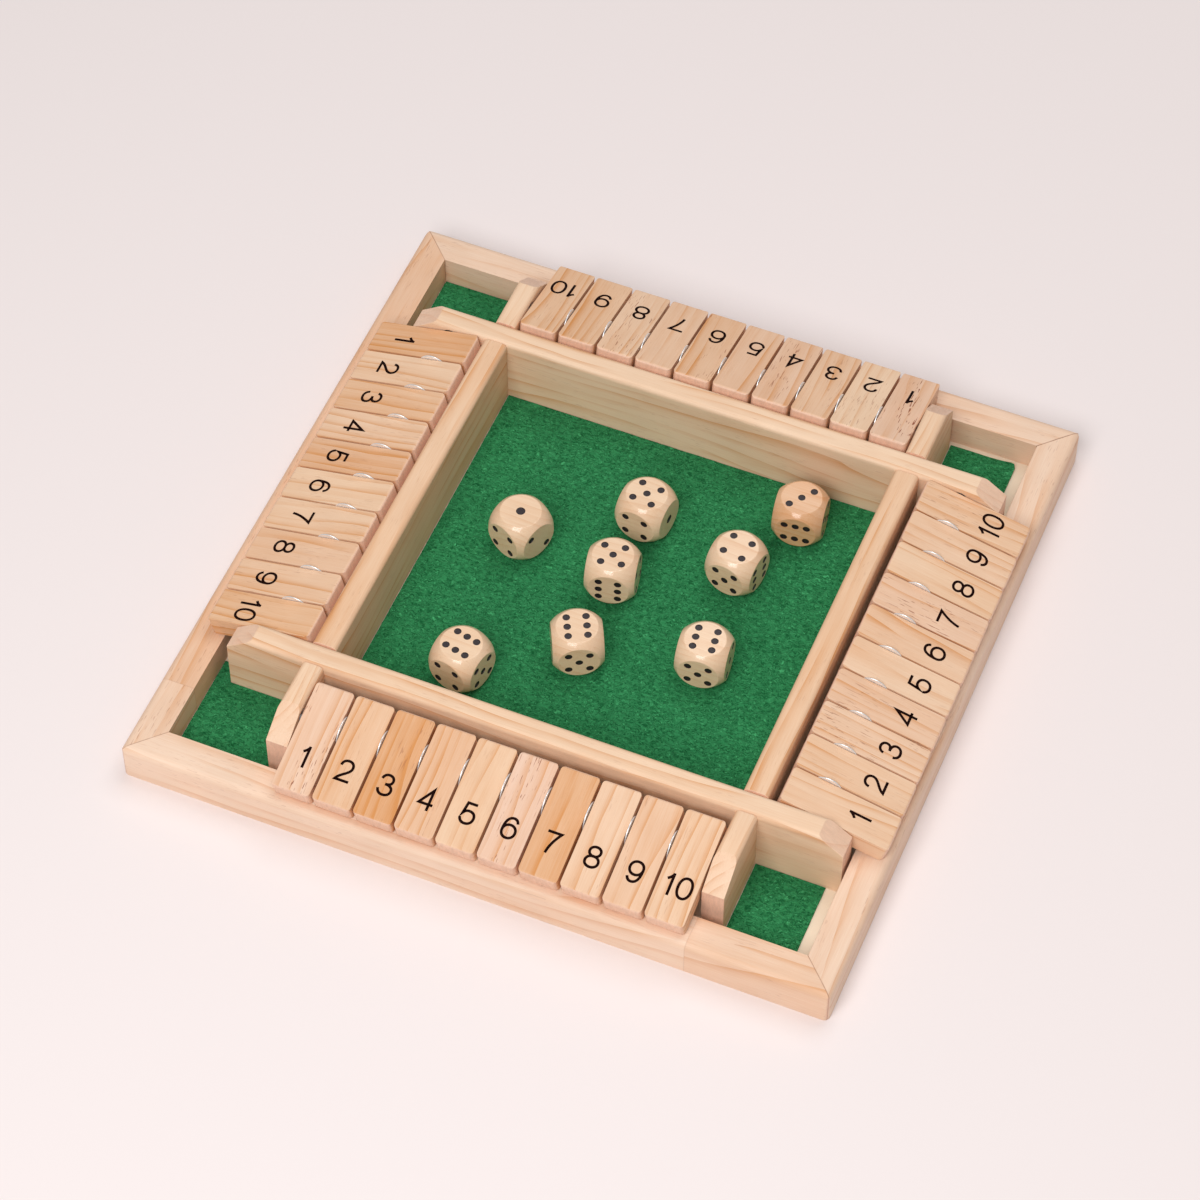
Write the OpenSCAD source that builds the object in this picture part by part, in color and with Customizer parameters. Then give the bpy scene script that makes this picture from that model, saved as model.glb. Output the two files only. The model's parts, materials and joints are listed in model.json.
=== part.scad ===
// Four-player flip-tile dice game: a square wooden tray with a row of ten
// hinged number tiles on each side and eight wooden dice.
// Millimetres. +X right, -Y front, +Z up. The origin is at the middle of the
// outer frame, on the surface that the game lies on.

/* [Outer frame] */
// Side of the square frame over its rails
frame_size = 300; // [250:1:400]
// Width of a frame rail
frame_rail_w = 14.5; // [10:0.5:24]
// Height of a frame rail
frame_h = 17.5; // [12:0.5:26]
// Rounding of the rails' outer top edge
frame_edge_r = 3; // [0.5:0.5:6]
// Rounding of the frame's four corners in plan
frame_corner_r = 2.5; // [0.5:0.5:8]

/* [Base board] */
// Thickness of the plywood base
base_t = 3; // [2:0.5:6]
// How far the base reaches under the rails, in their rebate
rebate_w = 5; // [2:0.5:8]
// Clearance of the base in the rebate, sideways
base_fit = 0.2; // [0.05:0.05:1]

/* [Felt] */
// Thickness of the felt
felt_t = 1; // [0.5:0.1:2.5]
// Clearance round the felt in the tray and pockets
felt_fit = 0.3; // [0.1:0.1:2]
// Bare strip beside the felt in the two right pockets
felt_short_side = 7; // [0:0.5:12]
// Bare strip behind the felt in the back right pocket
felt_short_back = 2.5; // [0:0.5:6]

/* [Tray] */
// Height of the tray's walls above the surface below the game
wall_top = 36.2; // [28:0.1:45]
// Thickness of the tray's walls and long rails
wall_t = 10.4; // [7:0.1:16]
// Rounding of the walls' long top edges
wall_edge_r = 2.3; // [0.5:0.1:4]

/* [Long rails] */
// Gap between a long rail's left end and the frame
rail_gap_left = 6.9; // [0.5:0.1:12]
// Gap between a long rail's right end and the frame
rail_gap_right = 1.1; // [0.5:0.1:12]
// Length of the sloped cut at a long rail's end
rail_chamfer_l = 11; // [4:0.5:18]
// Drop of the sloped cut at a long rail's end
rail_chamfer_h = 8; // [3:0.5:14]

/* [Rod brackets] */
// Thickness of a bracket
bracket_t = 9.2; // [6:0.1:14]
// How far a bracket's inner face sits outside the tray's inner wall face
bracket_set = 0.7; // [0:0.1:3]
// Gap between a front bracket's end and the frame
bracket_gap_front = 5.2; // [0.5:0.1:10]
// Gap between a back bracket's end and the frame
bracket_gap_back = 3.6; // [0.5:0.1:10]
// Length of the sloped cut at a front bracket's end
bracket_chamfer_front = 15; // [5:0.5:20]
// Length of the sloped cut at a back bracket's end
bracket_chamfer_back = 11; // [5:0.5:20]
// Drop of the sloped cut at a bracket's end
bracket_chamfer_h = 8.6; // [3:0.1:14]

/* [Hinge rods and washers] */
// Diameter of a hinge rod
rod_d = 3; // [2:0.1:5]
// Height of the rods' axes above the surface below the game
rod_z = 28.9; // [24:0.1:34]
// Diameter of the blind holes that take the rods' ends
rod_hole_d = 6.2; // [3:0.1:8]
// Depth of those holes
rod_hole_depth = 6.5; // [3:0.5:9]
// Space between a rod's end and the bottom of its hole
rod_end_fit = 0.5; // [0.1:0.1:1]
// Rod to the lowest line of its hole
rod_seat_fit = 0.05; // [0.01:0.01:0.3]
// Outer diameter of a spacing washer
washer_d = 12.8; // [8:0.1:16]
// Thickness of a spacing washer
washer_t = 0.5; // [0.3:0.1:1.5]
// Clearance between washer and rod
washer_fit = 0.2; // [0.05:0.05:0.6]

/* [Number tiles] */
// How far the front tiles reach over the frame at rest
lap_front = 12.3; // [6:0.1:14]
// How far the right tiles reach over the frame at rest
lap_right = 13.6; // [6:0.1:14]
// How far the back tiles reach over the frame at rest
lap_back = 9.7; // [6:0.1:14]
// How far the left tiles reach over the frame at rest
lap_left = 7.5; // [6:0.1:14]
// Turning front tile to its tray wall, at the nearest
wall_gap_front = 5; // [0.3:0.1:8]
// Turning right tile to its tray wall, at the nearest
wall_gap_right = 2.3; // [0.3:0.1:8]
// Turning back tile to its tray wall, at the nearest
wall_gap_back = 0.6; // [0.3:0.1:8]
// Turning left tile to its tray wall, at the nearest
wall_gap_left = 0.4; // [0.3:0.1:8]
// Thickness of a tile
tile_t = 9; // [6:0.1:12]
// Rod axis to the tile's outer end
tile_out = 31.6; // [24:0.1:36]
// Rod axis to the tile's inner end
tile_in = 15.3; // [10:0.1:17]
// Gap between neighbours, front and back rows
tile_gap_fb = 1.15; // [0.7:0.05:3]
// Gap between neighbours, left and right rows
tile_gap_lr = 0.85; // [0.7:0.05:3]
// Gap beside a front or back row's end tile
tile_side_fb = 0.8; // [0.3:0.05:3]
// Gap beside a left or right row's end tile
tile_side_lr = 0.5; // [0.3:0.05:3]
// Rounding of the tile's ends along their edges
tile_edge_r = 1.2; // [0.4:0.1:3]
// Rounding of the lower outer edge, on which the tile rests
tile_foot_r = 2.5; // [0.4:0.1:4]
// Rounding of the tile's corners in plan
tile_corner_r = 2; // [0.4:0.1:4]
// Clearance between the tile's bore and the rod, on the radius
tile_bore_fit = 0.08; // [0.02:0.01:0.1]
// Gap below a resting tile's outer edge
tile_rest_gap = 0.2; // [0.05:0.05:0.5]

/* [Dice] */
// Distance between a die's opposite faces
die_size = 21.1; // [14:0.1:26]
// Diameter of the ball that rounds a die's corners
die_ball_d = 27.2; // [20:0.1:36]
// Pip spacing from the middle, on the faces of 2 to 5
pip_step = 4.3; // [2:0.1:6]
// Spacing of the six's two lines from the middle
six_across = 4; // [2:0.1:6]
// Spacing of the six's three pips along a line
six_along = 4.7; // [2:0.1:6]
// Diameter of a pip
pip_d = 3; // [1:0.1:5]
// Depth of a pip
pip_depth = 0.4; // [0.1:0.1:1]
// Gap between a die and the felt
die_rest_gap = 0.05; // [0.01:0.01:0.3]

/* [Hidden] */
$fn = 48;
eps = 0.5;
pip_sides = 12;

tiles = 10;
inner_half = frame_size / 2 - frame_rail_w;
felt_z = base_t + felt_t;
wall_h = wall_top - base_t;

// A tile rests with its outer lower rounding on the frame: its tilt follows
foot_up = tile_t / 2 - tile_foot_r;
foot_out = tile_out - tile_foot_r;
rest_drop = rod_z - frame_h - tile_rest_gap - tile_foot_r;
tile_tilt = asin(rest_drop / norm([foot_up, foot_out])) - atan2(foot_up, foot_out);
tile_reach = tile_out * cos(tile_tilt) + tile_t / 2 * sin(tile_tilt);
tile_swing = norm([tile_in - tile_edge_r, tile_t / 2 - tile_edge_r]) + tile_edge_r;

// Rows, as front, right, back and left. The turn about +Z brings the front
// row there. The reach runs from the origin out to the rod's axis, and the
// face is the tray wall's outer face.
row_turn = [0, 90, 180, 270];
row_lap = [lap_front, lap_right, lap_back, lap_left];
row_wall_gap = [wall_gap_front, wall_gap_right, wall_gap_back, wall_gap_left];
row_reach = [for (lap = row_lap) inner_half + lap - tile_reach];
row_face = [for (k = [0 : 3]) row_reach[k] - tile_swing - row_wall_gap[k]];

// The tray's opening, and how far it sits right of and behind the middle
tray_x0 = wall_t - row_face[3];
tray_x1 = row_face[1] - wall_t;
tray_y0 = wall_t - row_face[0];
tray_y1 = row_face[2] - wall_t;
tray_w = tray_x1 - tray_x0;
tray_d = tray_y1 - tray_y0;
tray_shift_x = (tray_x0 + tray_x1) / 2;
tray_shift_y = (tray_y0 + tray_y1) / 2;
rail_x0 = rail_gap_left - inner_half;
rail_x1 = inner_half - rail_gap_right;

// Each row's middle, moved to its own right, its width and its tiles' width
row_shift = [tray_shift_x, tray_shift_y, -tray_shift_x, -tray_shift_y];
row_width = [tray_w + 2 * bracket_set, tray_d, tray_w + 2 * bracket_set, tray_d];
row_gap = [tile_gap_fb, tile_gap_lr, tile_gap_fb, tile_gap_lr];
row_side = [tile_side_fb, tile_side_lr, tile_side_fb, tile_side_lr];
row_tile_w = [for (k = [0 : 3]) (row_width[k] - 2 * row_side[k] - (tiles - 1) * row_gap[k]) / tiles];

rod_r = rod_d / 2;
rod_hole_z = rod_z + rod_hole_d / 2 - rod_r - rod_seat_fit;
rod_grip = rod_hole_depth - rod_end_fit;

// Dice as they lie. The first two values are shares of the way from the
// tray's middle to where a die meets a wall. Then come the turn, the numbers
// on top, in front and on the right, and 1 where a six lies across.
die_places = [
    [-0.696, 0.2, -22.8, 1, 4, 2, 0],
    [-0.078, 0.601, -6.3, 5, 4, 1, 0],
    [0.753, 0.918, 7.3, 3, 6, 5, 1],
    [-0.089, 0.111, 10.9, 5, 6, 4, 0],
    [0.544, 0.437, -8.3, 4, 5, 6, 0],
    [-0.633, -0.803, -12.7, 6, 4, 5, 1],
    [-0.083, -0.44, 27.4, 6, 5, 3, 0],
    [0.612, -0.245, 5.9, 6, 5, 3, 0]
];
die_run = [tray_w / 2 - die_size / sqrt(2), tray_d / 2 - die_size / sqrt(2)];

wood = [0.91, 0.76, 0.6];
pale_wood = [0.93, 0.8, 0.66];
felt_green = [0.09, 0.37, 0.18];
steel = [0.78, 0.78, 0.78];

// A rectangle from [0, 0] with its upper left corner rounded
module left_rounded(w, h, r) {
    difference() {
        square([w, h]);
        translate([-eps, h - r])
            square([r + eps, r + eps]);
    }
    translate([r, h - r])
        circle(r = r);
}

// A rectangle from [0, 0] with both upper corners rounded
module top_rounded(w, h, r) {
    intersection() {
        left_rounded(w, h, r);
        translate([w, 0])
            mirror([1, 0])
                left_rounded(w, h, r);
    }
}

// A rectangle centred on the origin with four equal round corners
module rounded_plan(w, d, r) {
    square([w - 2 * r, d], center = true);
    square([w, d - 2 * r], center = true);
    for (sx = [-1, 1], sy = [-1, 1])
        translate([sx * (w / 2 - r), sy * (d / 2 - r)])
            circle(r = r);
}

// Turns children drawn for the front row to another side of the game
module side(k) {
    rotate([0, 0, row_turn[k]])
        children();
}

// Section of a frame rail: outer face at 0, rebate for the base at the inside
module frame_section() {
    difference() {
        left_rounded(frame_rail_w, frame_h, frame_edge_r);
        translate([frame_rail_w - rebate_w, -eps])
            square([rebate_w + eps, base_t + eps]);
    }
}

// The front rail, mitred at both ends
module frame_rail() {
    half = frame_size / 2;
    intersection() {
        translate([-half, -half, 0])
            rotate([90, 0, 90])
                linear_extrude(frame_size)
                    frame_section();
        linear_extrude(frame_h)
            intersection() {
                rounded_plan(frame_size, frame_size, frame_corner_r);
                polygon([[-half, -half], [half, -half], [0, 0]]);
            }
    }
}

module frame_rails_front_back() {
    color(pale_wood)
        for (k = [0, 2])
            side(k)
                frame_rail();
}

module frame_rails_left_right() {
    color(pale_wood)
        for (k = [1, 3])
            side(k)
                frame_rail();
}

module base_board() {
    half = inner_half + rebate_w - base_fit;
    color(wood)
        translate([-half, -half, 0])
            cube([2 * half, 2 * half, base_t]);
}

module felt_sheet(x0, x1, y0, y1) {
    translate([x0, y0, base_t])
        cube([x1 - x0, y1 - y0, felt_t]);
}

module tray_felt() {
    color(felt_green)
        felt_sheet(tray_x0 + felt_fit, tray_x1 - felt_fit, tray_y0 + felt_fit, tray_y1 - felt_fit);
}

// One felt in each pocket between frame, long rail and bracket. The two on
// the right are cut short of the frame.
module corner_felts() {
    left_x = tray_x0 - bracket_set - bracket_t - felt_fit;
    right_x = tray_x1 + bracket_set + bracket_t + felt_fit;
    front_y = -row_face[0] - felt_fit;
    back_y = row_face[2] + felt_fit;
    edge = inner_half - felt_fit;
    color(felt_green) {
        felt_sheet(-edge, left_x, -edge, front_y);
        felt_sheet(-edge, left_x, back_y, edge);
        felt_sheet(right_x, inner_half - felt_short_side, -edge, front_y);
        felt_sheet(right_x, inner_half - felt_short_side, back_y, inner_half - felt_short_back);
    }
}

// Section of a wall, standing on the base board, centred on x
module wall_section(t) {
    translate([-t / 2, base_t])
        top_rounded(t, wall_h, min(wall_edge_r, t / 2 - 0.5));
}

// Upper corner of a plank's side view at x, with a sloped cut of length l and
// drop h that rises towards dir
function cut_end(x, dir, l, h) =
    l == 0 ? [[x, wall_top]] : [[x, wall_top - h], [x + dir * l, wall_top]];

// A wall along X from x0 to x1, centred on y = 0, cut at its ends as given
module plank(x0, x1, t, cut0, cut1) {
    intersection() {
        translate([x0, 0, 0])
            rotate([90, 0, 90])
                linear_extrude(x1 - x0)
                    wall_section(t);
        translate([0, t / 2 + eps, 0])
            rotate([90, 0, 0])
                linear_extrude(t + 2 * eps)
                    polygon(concat(
                        [[x1, base_t], [x0, base_t]],
                        cut_end(x0, 1, cut0[0], cut0[1]),
                        [for (p = [1, 0]) if (cut1[0] > 0 || p == 0) cut_end(x1, -1, cut1[0], cut1[1])[p]]
                    ));
    }
}

// Blind hole for a rod's end, from the plane x = 0 into +X
module rod_hole() {
    translate([-eps, 0, rod_hole_z])
        rotate([0, 90, 0])
            cylinder(d = rod_hole_d, h = rod_hole_depth + eps);
}

// A long rail carries one end of the left and of the right rod in its inner
// face, which looks towards inward along Y.
module long_rail(y_mid, inward) {
    rail_cut = [rail_chamfer_l, rail_chamfer_h];
    color(wood)
        difference() {
            translate([0, y_mid, 0])
                plank(rail_x0, rail_x1, wall_t, rail_cut, rail_cut);
            for (x = [-row_reach[3], row_reach[1]])
                translate([x, y_mid + inward * wall_t / 2, 0])
                    rotate([0, 0, -inward * 90])
                        rod_hole();
        }
}

module long_rail_front() {
    long_rail(tray_y0 - wall_t / 2, 1);
}

module long_rail_back() {
    long_rail(tray_y1 + wall_t / 2, -1);
}

// A tray wall stands between the long rails and is glued to both
module tray_wall(x_mid) {
    color(wood)
        translate([x_mid, tray_y1, 0])
            rotate([90, 0, 0])
                linear_extrude(tray_d)
                    wall_section(wall_t);
}

module tray_wall_left() {
    tray_wall(tray_x0 - wall_t / 2);
}

module tray_wall_right() {
    tray_wall(tray_x1 + wall_t / 2);
}

// The bracket at one end of row k: s is -1 at its left and +1 at its right.
// The rod's hole is in the face that looks at the tiles.
module bracket(k, s, gap, cut_l) {
    face = row_width[k] / 2;
    difference() {
        translate([row_shift[k] + s * (face + bracket_t / 2), -row_face[k], 0])
            rotate([0, 0, -90])
                plank(0, inner_half - gap - row_face[k], bracket_t, [0, 0], [cut_l, bracket_chamfer_h]);
        translate([row_shift[k] + s * face, -row_reach[k], 0])
            rotate([0, 0, s > 0 ? 0 : 180])
                rod_hole();
    }
}

module rod_brackets() {
    color(wood)
        for (s = [-1, 1]) {
            side(0)
                bracket(0, s, bracket_gap_front, bracket_chamfer_front);
            side(2)
                bracket(2, s, bracket_gap_back, bracket_chamfer_back);
        }
}

module hinge_rods() {
    color(steel)
        for (k = [0 : 3])
            side(k)
                translate([row_shift[k], -row_reach[k], rod_z])
                    rotate([0, 90, 0])
                        cylinder(d = rod_d, h = row_width[k] + 2 * rod_grip, center = true);
}

// Place of tile i (from 1) along its row, from the row's middle
function tile_x(k, i) = (i - (tiles + 1) / 2) * (row_tile_w[k] + row_gap[k]);

module washers() {
    color(steel)
        for (k = [0 : 3])
            side(k)
                for (i = [1 : tiles - 1])
                    translate([row_shift[k] + tile_x(k, i + 0.5), -row_reach[k], rod_z])
                        rotate([0, 90, 0])
                            difference() {
                                cylinder(d = washer_d, h = washer_t, center = true);
                                cylinder(d = rod_d + 2 * washer_fit, h = washer_t + 2 * eps, center = true);
                            }
}

// Side view of a tile: x outwards from the rod, y up
module tile_profile() {
    low = -tile_t / 2;
    high = tile_t / 2;
    difference() {
        translate([-tile_in, low])
            square([tile_in + tile_out, tile_t]);
        translate([tile_out - tile_foot_r, low - eps])
            square([tile_foot_r + eps, tile_foot_r + eps]);
        translate([tile_out - tile_edge_r, high - tile_edge_r])
            square([tile_edge_r + eps, tile_edge_r + eps]);
        for (y = [low - eps, high - tile_edge_r])
            translate([-tile_in - eps, y])
                square([tile_edge_r + eps, tile_edge_r + eps]);
    }
    translate([tile_out - tile_foot_r, low + tile_foot_r])
        circle(r = tile_foot_r);
    translate([tile_out - tile_edge_r, high - tile_edge_r])
        circle(r = tile_edge_r);
    for (y = [low + tile_edge_r, high - tile_edge_r])
        translate([tile_edge_r - tile_in, y])
            circle(r = tile_edge_r);
}

// A tile of width w about its rod axis, lying level, outer end towards -Y
module tile(w) {
    difference() {
        intersection() {
            rotate([90, 0, -90])
                linear_extrude(w, center = true)
                    tile_profile();
            translate([0, (tile_in - tile_out) / 2, -tile_t / 2])
                linear_extrude(tile_t)
                    rounded_plan(w, tile_in + tile_out, tile_corner_r);
        }
        rotate([0, 90, 0])
            cylinder(d = rod_d + 2 * tile_bore_fit, h = w + 2 * eps, center = true);
    }
}

// Tile i of row k, counted from the row's own left, resting on the frame
module placed_tile(k, i) {
    color(wood)
        side(k)
            translate([row_shift[k] + tile_x(k, i), -row_reach[k], rod_z])
                rotate([tile_tilt, 0, 0])
                    tile(row_tile_w[k]);
}

module tile_front(i) {
    placed_tile(0, i);
}

module tile_right(i) {
    placed_tile(1, i);
}

module tile_back(i) {
    placed_tile(2, i);
}

module tile_left(i) {
    placed_tile(3, i);
}

// Pip places of number n on a face, as [across, up]
function pips(n, six_lies) =
    n == 6 ? [for (a = [-six_across, six_across], b = [-six_along, 0, six_along]) six_lies ? [b, a] : [a, b]] :
    concat(
        n % 2 == 1 ? [[0, 0]] : [],
        n == 2 ? [[-pip_step, pip_step], [pip_step, -pip_step]] :
        n == 3 ? [[-pip_step, -pip_step], [pip_step, pip_step]] :
        n > 3 ? [for (a = [-pip_step, pip_step], b = [-pip_step, pip_step]) [a, b]] : []
    );

// The pips of number n, sunk into the face that looks up
module face_pips(n, six_lies) {
    for (p = pips(n, six_lies))
        translate([p[0], p[1], die_size / 2 - pip_depth])
            cylinder(d = pip_d, h = pip_depth + eps, $fn = pip_sides);
}

// Die i where it lies in the tray. Opposite faces add up to seven.
module die(i) {
    d = die_places[i - 1];
    six_lies = d[6] == 1;
    color(pale_wood)
        translate([tray_shift_x + d[0] * die_run[0], tray_shift_y + d[1] * die_run[1],
                felt_z + die_rest_gap + die_size / 2])
            rotate([0, 0, d[2]])
                difference() {
                    intersection() {
                        cube(die_size, center = true);
                        sphere(d = die_ball_d);
                    }
                    for (turn = [0, 180]) {
                        rotate([turn, 0, 0])
                            face_pips(turn == 0 ? d[3] : 7 - d[3], six_lies);
                        rotate([90, 0, turn])
                            face_pips(turn == 0 ? d[4] : 7 - d[4], six_lies);
                        rotate([90, 0, 90 + turn])
                            face_pips(turn == 0 ? d[5] : 7 - d[5], six_lies);
                    }
                }
}

frame_rails_front_back();
frame_rails_left_right();
base_board();
tray_felt();
corner_felts();
long_rail_front();
long_rail_back();
tray_wall_left();
tray_wall_right();
rod_brackets();
hinge_rods();
washers();
tile_front(1);  // tile_front_1
tile_front(2);  // tile_front_2
tile_front(3);  // tile_front_3
tile_front(4);  // tile_front_4
tile_front(5);  // tile_front_5
tile_front(6);  // tile_front_6
tile_front(7);  // tile_front_7
tile_front(8);  // tile_front_8
tile_front(9);  // tile_front_9
tile_front(10);  // tile_front_10
tile_right(1);  // tile_right_1
tile_right(2);  // tile_right_2
tile_right(3);  // tile_right_3
tile_right(4);  // tile_right_4
tile_right(5);  // tile_right_5
tile_right(6);  // tile_right_6
tile_right(7);  // tile_right_7
tile_right(8);  // tile_right_8
tile_right(9);  // tile_right_9
tile_right(10);  // tile_right_10
tile_back(1);  // tile_back_1
tile_back(2);  // tile_back_2
tile_back(3);  // tile_back_3
tile_back(4);  // tile_back_4
tile_back(5);  // tile_back_5
tile_back(6);  // tile_back_6
tile_back(7);  // tile_back_7
tile_back(8);  // tile_back_8
tile_back(9);  // tile_back_9
tile_back(10);  // tile_back_10
tile_left(1);  // tile_left_1
tile_left(2);  // tile_left_2
tile_left(3);  // tile_left_3
tile_left(4);  // tile_left_4
tile_left(5);  // tile_left_5
tile_left(6);  // tile_left_6
tile_left(7);  // tile_left_7
tile_left(8);  // tile_left_8
tile_left(9);  // tile_left_9
tile_left(10);  // tile_left_10
die(1);  // die_1
die(2);  // die_2
die(3);  // die_3
die(4);  // die_4
die(5);  // die_5
die(6);  // die_6
die(7);  // die_7
die(8);  // die_8
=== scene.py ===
"""Looks of a four-player shut the box game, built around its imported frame."""

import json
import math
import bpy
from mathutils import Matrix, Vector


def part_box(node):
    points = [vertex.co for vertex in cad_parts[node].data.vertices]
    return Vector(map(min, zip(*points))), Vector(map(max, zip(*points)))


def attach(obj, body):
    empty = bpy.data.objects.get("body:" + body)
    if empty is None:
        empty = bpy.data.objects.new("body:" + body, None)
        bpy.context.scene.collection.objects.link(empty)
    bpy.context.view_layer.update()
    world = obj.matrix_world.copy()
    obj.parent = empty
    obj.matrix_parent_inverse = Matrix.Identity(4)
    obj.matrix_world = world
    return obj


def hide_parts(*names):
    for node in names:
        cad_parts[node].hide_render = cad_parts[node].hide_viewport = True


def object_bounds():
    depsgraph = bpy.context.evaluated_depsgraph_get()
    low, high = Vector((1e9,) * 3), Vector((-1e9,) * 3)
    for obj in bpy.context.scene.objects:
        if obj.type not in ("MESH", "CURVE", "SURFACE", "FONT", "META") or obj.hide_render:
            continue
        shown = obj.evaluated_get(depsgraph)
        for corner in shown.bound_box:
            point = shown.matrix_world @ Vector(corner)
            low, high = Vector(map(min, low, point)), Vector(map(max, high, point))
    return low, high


bl_info = {
    "name": "Shut the Box Game",
    "version": (1, 0, 0),
    "blender": (4, 5, 0),
    "location": "View3D > Sidebar > Shut the Box",
    "description": "Finishes a wooden shut the box game: planks, numbered tiles, felt and dice",
    "category": "Object",
}

import bmesh
import bpy
from bpy.props import FloatProperty, FloatVectorProperty, IntProperty, PointerProperty
from mathutils import Matrix, Vector, noise

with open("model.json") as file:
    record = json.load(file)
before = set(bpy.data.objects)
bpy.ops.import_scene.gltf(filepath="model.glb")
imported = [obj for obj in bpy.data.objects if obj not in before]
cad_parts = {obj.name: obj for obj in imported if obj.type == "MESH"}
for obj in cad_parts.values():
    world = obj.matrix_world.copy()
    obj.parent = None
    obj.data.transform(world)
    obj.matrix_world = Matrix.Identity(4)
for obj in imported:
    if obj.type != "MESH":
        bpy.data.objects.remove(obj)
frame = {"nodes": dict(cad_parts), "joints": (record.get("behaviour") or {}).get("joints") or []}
CAD_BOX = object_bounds()
JOINTS = {joint["name"]: joint for joint in frame["joints"]}

ROWS = ("front", "right", "back", "left")
TILES = range(1, 11)
QUARTER = math.pi / 2
BOX_BODY = "box"
MILLI = 0.001

# Each die's numbers on top, in front and at the right, its turn in degrees, and whether its six lies across
DICE = {
    "die_1": (1, 4, 2, -22.8, False),
    "die_2": (5, 4, 1, -6.3, False),
    "die_3": (3, 6, 5, 7.3, True),
    "die_4": (5, 6, 4, 10.9, False),
    "die_5": (4, 5, 6, -8.3, False),
    "die_6": (6, 4, 5, -12.7, True),
    "die_7": (6, 5, 3, 27.4, False),
    "die_8": (6, 5, 3, 5.9, False),
}

# How warm, how flecked and how pink each tile's wood is, from the first tile of a row to its tenth
TILE_WOOD = {
    "front": (
        (0.24, 0.9, 0.6), (0.52, 0.2, 0.1), (1.0, 0.4, 0.0), (0.50, 0.3, 0.3), (0.38, 0.1, 0.0),
        (0.22, 0.8, 0.8), (0.88, 0.1, 0.0), (0.30, 0.2, 0.2), (0.38, 0.3, 0.3), (0.34, 0.2, 0.1),
    ),
    "right": (
        (0.32, 0.1, 0.1), (0.34, 0.2, 0.1), (0.28, 0.7, 0.3), (0.42, 0.4, 0.4), (0.30, 0.1, 0.1),
        (0.44, 0.1, 0.2), (0.34, 0.7, 0.5), (0.32, 0.1, 0.0), (0.36, 0.2, 0.2), (0.40, 0.5, 0.1),
    ),
    "back": (
        (0.34, 1.0, 0.6), (0.14, 0.4, 0.0), (0.42, 0.3, 0.2), (0.38, 0.6, 0.5), (0.42, 0.1, 0.4),
        (0.52, 0.7, 0.2), (0.40, 0.2, 0.3), (0.26, 0.6, 0.2), (0.50, 0.2, 0.1), (0.44, 0.2, 0.1),
    ),
    "left": (
        (0.78, 0.1, 0.1), (0.28, 0.2, 0.1), (0.55, 0.2, 0.1), (0.24, 0.2, 0.2), (0.62, 0.2, 0.3),
        (0.22, 0.3, 0.0), (0.32, 0.2, 0.1), (0.42, 0.2, 0.3), (0.36, 0.4, 0.2), (0.58, 0.2, 0.0),
    ),
}


# Rounding in metres of the frame's corners seen from above, by their signs in X and Y. The CAD has rounded each
# by 2.5 mm already, and the larger of the two shows.
FRAME_CORNERS = {(-1, -1): 0.0025, (1, -1): 0.001, (1, 1): 0.002, (-1, 1): 0.005}


# Settings


def length(name, description, default, lowest=0.0):
    """A length setting in metres."""
    return FloatProperty(
        name=name, description=description, default=default, min=lowest, unit="LENGTH", precision=5
    )


def power(name, description, default):
    """A lamp's power in watts."""
    return FloatProperty(name=name, description=description, default=default, min=0.0, unit="POWER")


def tint(name, description, default):
    """A colour setting."""
    return FloatVectorProperty(
        name=name, description=description, default=default, size=3, min=0.0, max=1.0, subtype="COLOR"
    )


def angle(name, description, degrees):
    """An angle setting."""
    return FloatProperty(name=name, description=description, default=math.radians(degrees), subtype="ANGLE")


class GameSizes(bpy.types.PropertyGroup):
    """Sizes of the finishing work"""

    plank_round: length("Plank edge", "Rounding sanded onto the sharp edges of the planks", 0.0003)
    tile_round: length("Tile edge", "Rounding sanded onto the sharp edges of the tiles", 0.0002)
    washer_round: length("Washer edge", "Rounding of the washers' rims", 0.00018)
    numeral_height: length("Numeral height", "Height of the printed numerals", 0.0096)
    numeral_width: length("Numeral width", "Width of one printed digit", 0.0066)
    numeral_pen: length("Numeral stroke", "Width of the numerals' strokes", 0.00112)
    numeral_ink: length("Ink thickness", "Half the print's thickness, its middle on the wood", 0.00005)
    numeral_out: length("Numeral place", "From a tile's rod out to the middle of its numeral", 0.0162)
    die_edge: length("Die edge", "Rounding between a die's faces and its ball", 0.0006)
    pip_width: length("Pip width", "Width of a pip", 0.0031)
    one_width: length("Width of a one", "Width of the single pip of a one", 0.0039)
    pip_depth: length("Pip depth", "Depth of a pip", 0.0004)
    pip_step: length("Pip step", "From the middle of a face to its corner pips", 0.0043)
    six_across: length("Six, across", "From the middle of a six to its two rows", 0.004)
    six_along: length("Six, along", "From the middle of a six to the ends of its rows", 0.0047)
    felt_cell: length("Felt cell", "Spacing of the felt's grid", 0.0022)
    felt_nap: length("Felt nap", "How far the felt's surface rises and falls", 0.00022)
    felt_curl: length("Felt curl", "How far the loose corner of the felt has lifted", 0.0016)
    felt_lift: length("Felt lift", "How far from that corner the felt begins to lift", 0.011)
    felt_corner: length("Felt corner", "Rounding of that corner", 0.003)
    felt_fray: length("Felt edge", "How unevenly the felt's edges are cut", 0.00022)
    felt_reach: length("Felt reach", "How far the left felts go on beside the long rails' ends", 0.009)
    felt_fit: length("Felt fit", "Clearance between felt and wood", 0.0003)


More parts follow.
